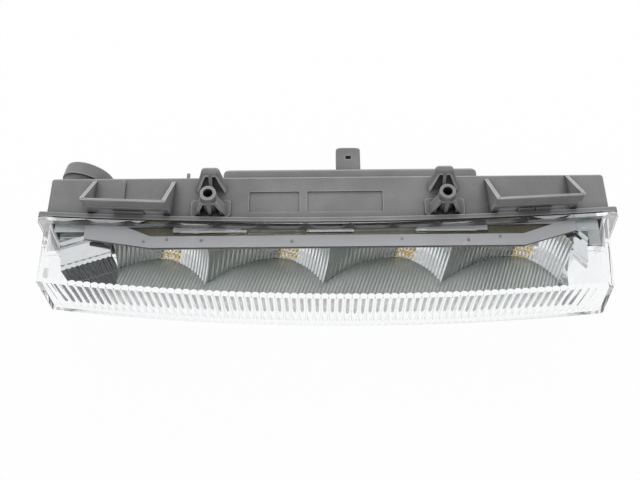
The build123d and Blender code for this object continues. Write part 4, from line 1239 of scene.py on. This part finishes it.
@dataclass
class LightEngine:
    """Heat sink, light board and emitters, in millimetres of the row frame."""

    plate_top: float = -19.5
    lip_y: float = -12.1
    lip_radius: float = 0.7
    lips: tuple[Span, ...] = ((-58.8, 34.0), (1.8, 23.0), (60.7, 31.0))
    rivets: tuple[Span, ...] = (
        (-94.3, -17.6), (-82.4, -16.6), (-64.7, -17.2), (-18.5, -18.2), (37.8, -17.0), (71.7, -18.2),
        (88.0, -16.3),
    )
    rivet_radius: float = 0.85
    rivet_height: float = 0.3
    rivet_sides: int = 24
    ends: tuple[tuple[float, float, float, float], ...] = (
        (-140.6, -125.2, -11.2, -5.2), (127.7, 139.0, -13.0, -5.2), (133.2, 138.8, -21.0, -13.0),
    )
    end_top: float = -19.8
    end_thickness: float = 0.8

    def build(self, frame: LampFrame) -> None:
        """Makes the rolled lips of the tabs, the rivets of the plate and the plates at its ends.

        Args:
            frame: CAD solids and finishes.
        """
        lips = Blank()
        for x, length in self.lips:
            lips.rod((x, self.lip_y, self.plate_top), self.lip_radius, length)
        frame.add(lips.piece("tab_lips"), Slot.PACKAGE)
        frame.add(self.make_rivets("plate_rivets", frame.palette.materials[Slot.SCREW]), Slot.SCREW)
        ends = Blank()
        for left, right, front, back in self.ends:
            ends.box((left, front, self.end_top - self.end_thickness), (right, back, self.end_top))
        frame.add(ends.piece("end_plates"), Slot.MIRROR, Look.SATIN_FLOOR)

    def make_rivets(self, name: str, material: bpy.types.Material) -> bpy.types.Object:
        """Makes the rivets of the plate.

        Args:
            name: Piece name.
            material: Finish.

        Returns:
            All rivets as one piece.
        """
        sizes = {"Radius": self.rivet_radius * MM, "Height": self.rivet_height * MM}
        recipe = Recipe(name, sizes, {"Sides": self.rivet_sides})
        head = recipe.add("GeometryNodeMeshCylinder")
        for label, target in (("Sides", "Vertices"), ("Radius", "Radius"), ("Height", "Depth")):
            recipe.link(recipe.entry.outputs[label], head.inputs[target])
        copies = recipe.behind(recipe.entry.outputs["Spots"], "GeometryNodeInstanceOnPoints")
        recipe.link(head.outputs["Mesh"], copies.inputs["Instance"])
        recipe.close(copies.outputs[0], material)
        return recipe.bake(name, tuple((x, y, self.plate_top) for x, y in self.rivets))

    def dress(self, frame: LampFrame) -> None:
        """Dresses the CAD pieces of the light engine."""
        frame.dress({
            "heat_sink": Slot.SINK, "led_board": Slot.BOARD, "led_packages": Slot.PACKAGE,
            "led_phosphors": Slot.PHOSPHOR, "board_screws": Slot.SCREW, "sink_screws": Slot.SCREW,
            "board_header": Slot.HEADER, "supply_lead": Slot.RED_LEAD, "return_lead": Slot.BLACK_LEAD,
        })


@dataclass
class BackShell:
    """Housing, rear cover, breather and the driver inside, in millimetres of the row frame."""

    # Corners of the dark box under the latch slot, a painted shadow.
    shadow_low: Point = (9.8, 32.4, -24.1)
    shadow_high: Point = (13.2, 35.6, -23.6)

    def build(self, frame: LampFrame) -> None:
        """Makes a dark box under the latch slot of the socket: a painted shadow where the slot shows only
        shade.

        Args:
            frame: CAD solids and finishes.
        """
        shadow_block = Blank()
        shadow_block.box(self.shadow_low, self.shadow_high)
        frame.add(shadow_block.piece("latch_painted_shadow"), Slot.SEAL)

    def dress(self, frame: LampFrame) -> None:
        """Dresses the CAD pieces of the shell."""
        frame.dress({
            "housing": Slot.HOUSING, "rear_cover": Slot.HOUSING, "cover_seal": Slot.SEAL,
            "cover_screws": Slot.SCREW, "terminal_pins": Slot.PIN, "breather_cap": Slot.CAP,
            "breather_membrane": Slot.MEMBRANE, "driver_board": Slot.DRIVER, "inductor": Slot.FERRITE,
            "capacitors": Slot.CAN, "driver_chips": Slot.CHIP, "driver_header": Slot.HEADER,
        })


@dataclass
class FrontCover:
    """Clear lens and its seal."""

    def dress(self, frame: LampFrame) -> None:
        """Dresses the lens and the bead behind it."""
        frame.dress({"lens": Slot.LENS, "lens_seal": Look.SEAL_BEAD})


@dataclass(frozen=True)
class SoftBox:
    """Area lamp of the studio."""

    name: str
    place: Point
    aim: Point
    width: float
    depth: float
    power: float

    def build(self) -> None:
        """Adds the lamp to the scene."""
        lamp = bpy.data.lights.new(self.name, "AREA")
        lamp.shape = "RECTANGLE"
        lamp.size = self.width
        lamp.size_y = self.depth
        lamp.energy = self.power
        holder = bpy.data.objects.new(self.name, lamp)
        bpy.context.scene.collection.objects.link(holder)
        holder.location = self.place
        line = Vector(self.aim) - Vector(self.place)
        holder.rotation_euler = line.to_track_quat("-Z", "Y").to_euler()


@dataclass
class Studio:
    """Floor, lamps, sky and camera."""

    focal_px: float = 850.0
    image_width: float = 640.0
    sensor: float = 36.0
    elevation: float = 63.5
    roll: float = 0.5
    eye: Point = (-4.1, -211.0, 369.4)
    nearest: float = 0.01
    bright: float = 0.85
    dim: float = 0.15
    horizon: float = 0.001
    flag_slope: float = 0.48
    flag_depth: float = 0.22
    flag_width: float = 0.5
    flag_edge: Span = (0.85, 1.2)
    strips: float = 7.0
    strip_edge: Span = (-0.1, 0.3)
    strip_dim: float = 0.35
    front_left: float = 1.1
    front_right: float = 0.04
    front_fade: Span = (-0.1, 0.35)
    front_start: Span = (-0.2, -0.5)
    front_top: Span = (0.65, 0.5)
    floor_half: float = 6.0
    floor_scale: float = 3.0
    floor_detail: float = 2.0
    floor_range: Span = (0.3, 0.7)
    floor_tones: Span = (0.84, 0.86)
    floor_rough: float = 0.9
    floor_glow: float = 0.97
    boxes: tuple[SoftBox, ...] = (
        SoftBox("back_box", place=(0.1, 1.25, 0.36), aim=(0.0, 0.0, -0.02), width=1.8, depth=0.35,
                power=16.0),
    )

    def build(self, low: float) -> None:
        """Builds the whole studio.

        Args:
            low: Height of the floor.
        """
        self.make_floor(low)
        self.make_sky()
        for box in self.boxes:
            box.build()
        self.make_camera()
        bpy.context.scene.view_settings.view_transform = "Standard"

    def make_floor(self, low: float) -> None:
        """Pale floor that shows white to the camera and keeps the shadow.

        Args:
            low: Height of the floor.
        """
        mesh = bpy.data.meshes.new("floor")
        half = self.floor_half
        corners = [(-half, -half, low), (half, -half, low), (half, half, low), (-half, half, low)]
        mesh.from_pydata(corners, [], [(0, 1, 2, 3)])
        floor = bpy.data.objects.new("floor", mesh)
        bpy.context.scene.collection.objects.link(floor)
        material, shader, surface = start_material("studio_floor")
        clouds = shader.noise(self.floor_scale, self.floor_detail)
        tone = shader.spread(clouds, *self.floor_range, *self.floor_tones)
        shader.link(tone, surface.inputs["Base Color"])
        surface.inputs["Roughness"].default_value = self.floor_rough
        surface.inputs["Specular IOR Level"].default_value = 0.0
        glow = shader.add("Emission")
        glow.inputs["Strength"].default_value = 1.0
        white = shader.layer(self.floor_glow, surface.outputs[0], glow.outputs[0])
        end_material(shader, shader.layer(self.seen(shader), surface.outputs[0], white))
        mesh.materials.append(material)
        floor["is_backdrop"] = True

    def seen(self, shader: Shader) -> bpy.types.NodeSocket:
        """Mask of rays that show the background.

        Args:
            shader: Builder of the tree.

        Returns:
            Socket that is one for camera, glossy and transmission rays.
        """
        path = shader.add("LightPath")
        first = shader.math("MAXIMUM", path.outputs["Is Camera Ray"], path.outputs["Is Glossy Ray"])
        return shader.math("MAXIMUM", first, path.outputs["Is Transmission Ray"])

    def make_sky(self) -> None:
        """Soft white room: a dark flag high at the back, strips in front that fade to the right."""
        world = bpy.data.worlds.new("studio_room")
        bpy.context.scene.world = world
        world.use_nodes = True
        shader = Shader(world.node_tree)
        background = world.node_tree.nodes["Background"]
        background.inputs["Color"].default_value = (1.0, 1.0, 1.0, 1.0)
        way = shader.add("SeparateXYZ")
        shader.link(shader.add("TexCoord").outputs["Generated"], way.inputs[0])
        x, y, z = way.outputs
        above = shader.math("MAXIMUM", z, self.horizon)
        aside = shader.math("ABSOLUTE", shader.math("DIVIDE", x, above))
        behind = shader.math("SUBTRACT", shader.math("DIVIDE", y, above), self.flag_slope)
        wide = shader.math("DIVIDE", aside, self.flag_width)
        deep = shader.math("DIVIDE", shader.math("ABSOLUTE", behind), self.flag_depth)
        flag = shader.math("MAXIMUM", wide, deep)
        room = shader.spread(flag, *self.flag_edge, self.dim, self.bright)
        turn = shader.math("ARCTAN2", x, shader.math("MULTIPLY", y, -1.0))
        wave = shader.math("COSINE", shader.math("MULTIPLY", turn, self.strips))
        side = shader.spread(x, *self.front_fade, self.front_left, self.front_right)
        strip = shader.math("MULTIPLY", side, shader.spread(wave, *self.strip_edge, self.strip_dim))
        ahead = shader.spread(y, *self.front_start)
        front = shader.math("MULTIPLY", ahead, shader.spread(z, *self.front_top))
        lit = shader.between(front, room, strip)
        strength = shader.between(shader.add("LightPath").outputs["Is Camera Ray"], lit, 1.0)
        shader.link(strength, background.inputs["Strength"])

    def make_camera(self) -> None:
        """Camera at the photograph's place."""
        lift = math.radians(self.elevation)
        forward = Vector((0.0, math.cos(lift), -math.sin(lift)))
        upward = Vector((0.0, math.sin(lift), math.cos(lift)))
        tilt = math.radians(self.roll)
        right = Vector((1.0, 0.0, 0.0)) * math.cos(tilt) - upward * math.sin(tilt)
        above = upward * math.cos(tilt) + Vector((1.0, 0.0, 0.0)) * math.sin(tilt)
        data = bpy.data.cameras.new("camera")
        data.sensor_width = self.sensor
        data.lens = self.sensor * self.focal_px / self.image_width
        data.clip_start = self.nearest
        camera = bpy.data.objects.new("camera", data)
        bpy.context.scene.collection.objects.link(camera)
        turn = Matrix((right, above, -forward)).transposed().to_4x4()
        camera.matrix_world = Matrix.Translation(Vector(self.eye) * MM) @ turn
        bpy.context.scene.camera = camera


def main() -> None:
    """Builds the studio and the lamp."""
    logging.basicConfig(level=logging.INFO, format="%(name)s: %(message)s")
    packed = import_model()
    cad_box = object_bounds()
    effects = Effects()
    frame = LampFrame(packed["nodes"], Palette(effects))
    Studio().build(cad_box[0][2])
    shell = BackShell()
    shell.dress(frame)
    shell.build(frame)
    FrontCover().dress(frame)
    engine = LightEngine()
    engine.dress(frame)
    engine.build(frame)
    optics = Optics()
    optics.dress(frame)
    optics.build(frame)


if __name__ == "__main__":
    main()
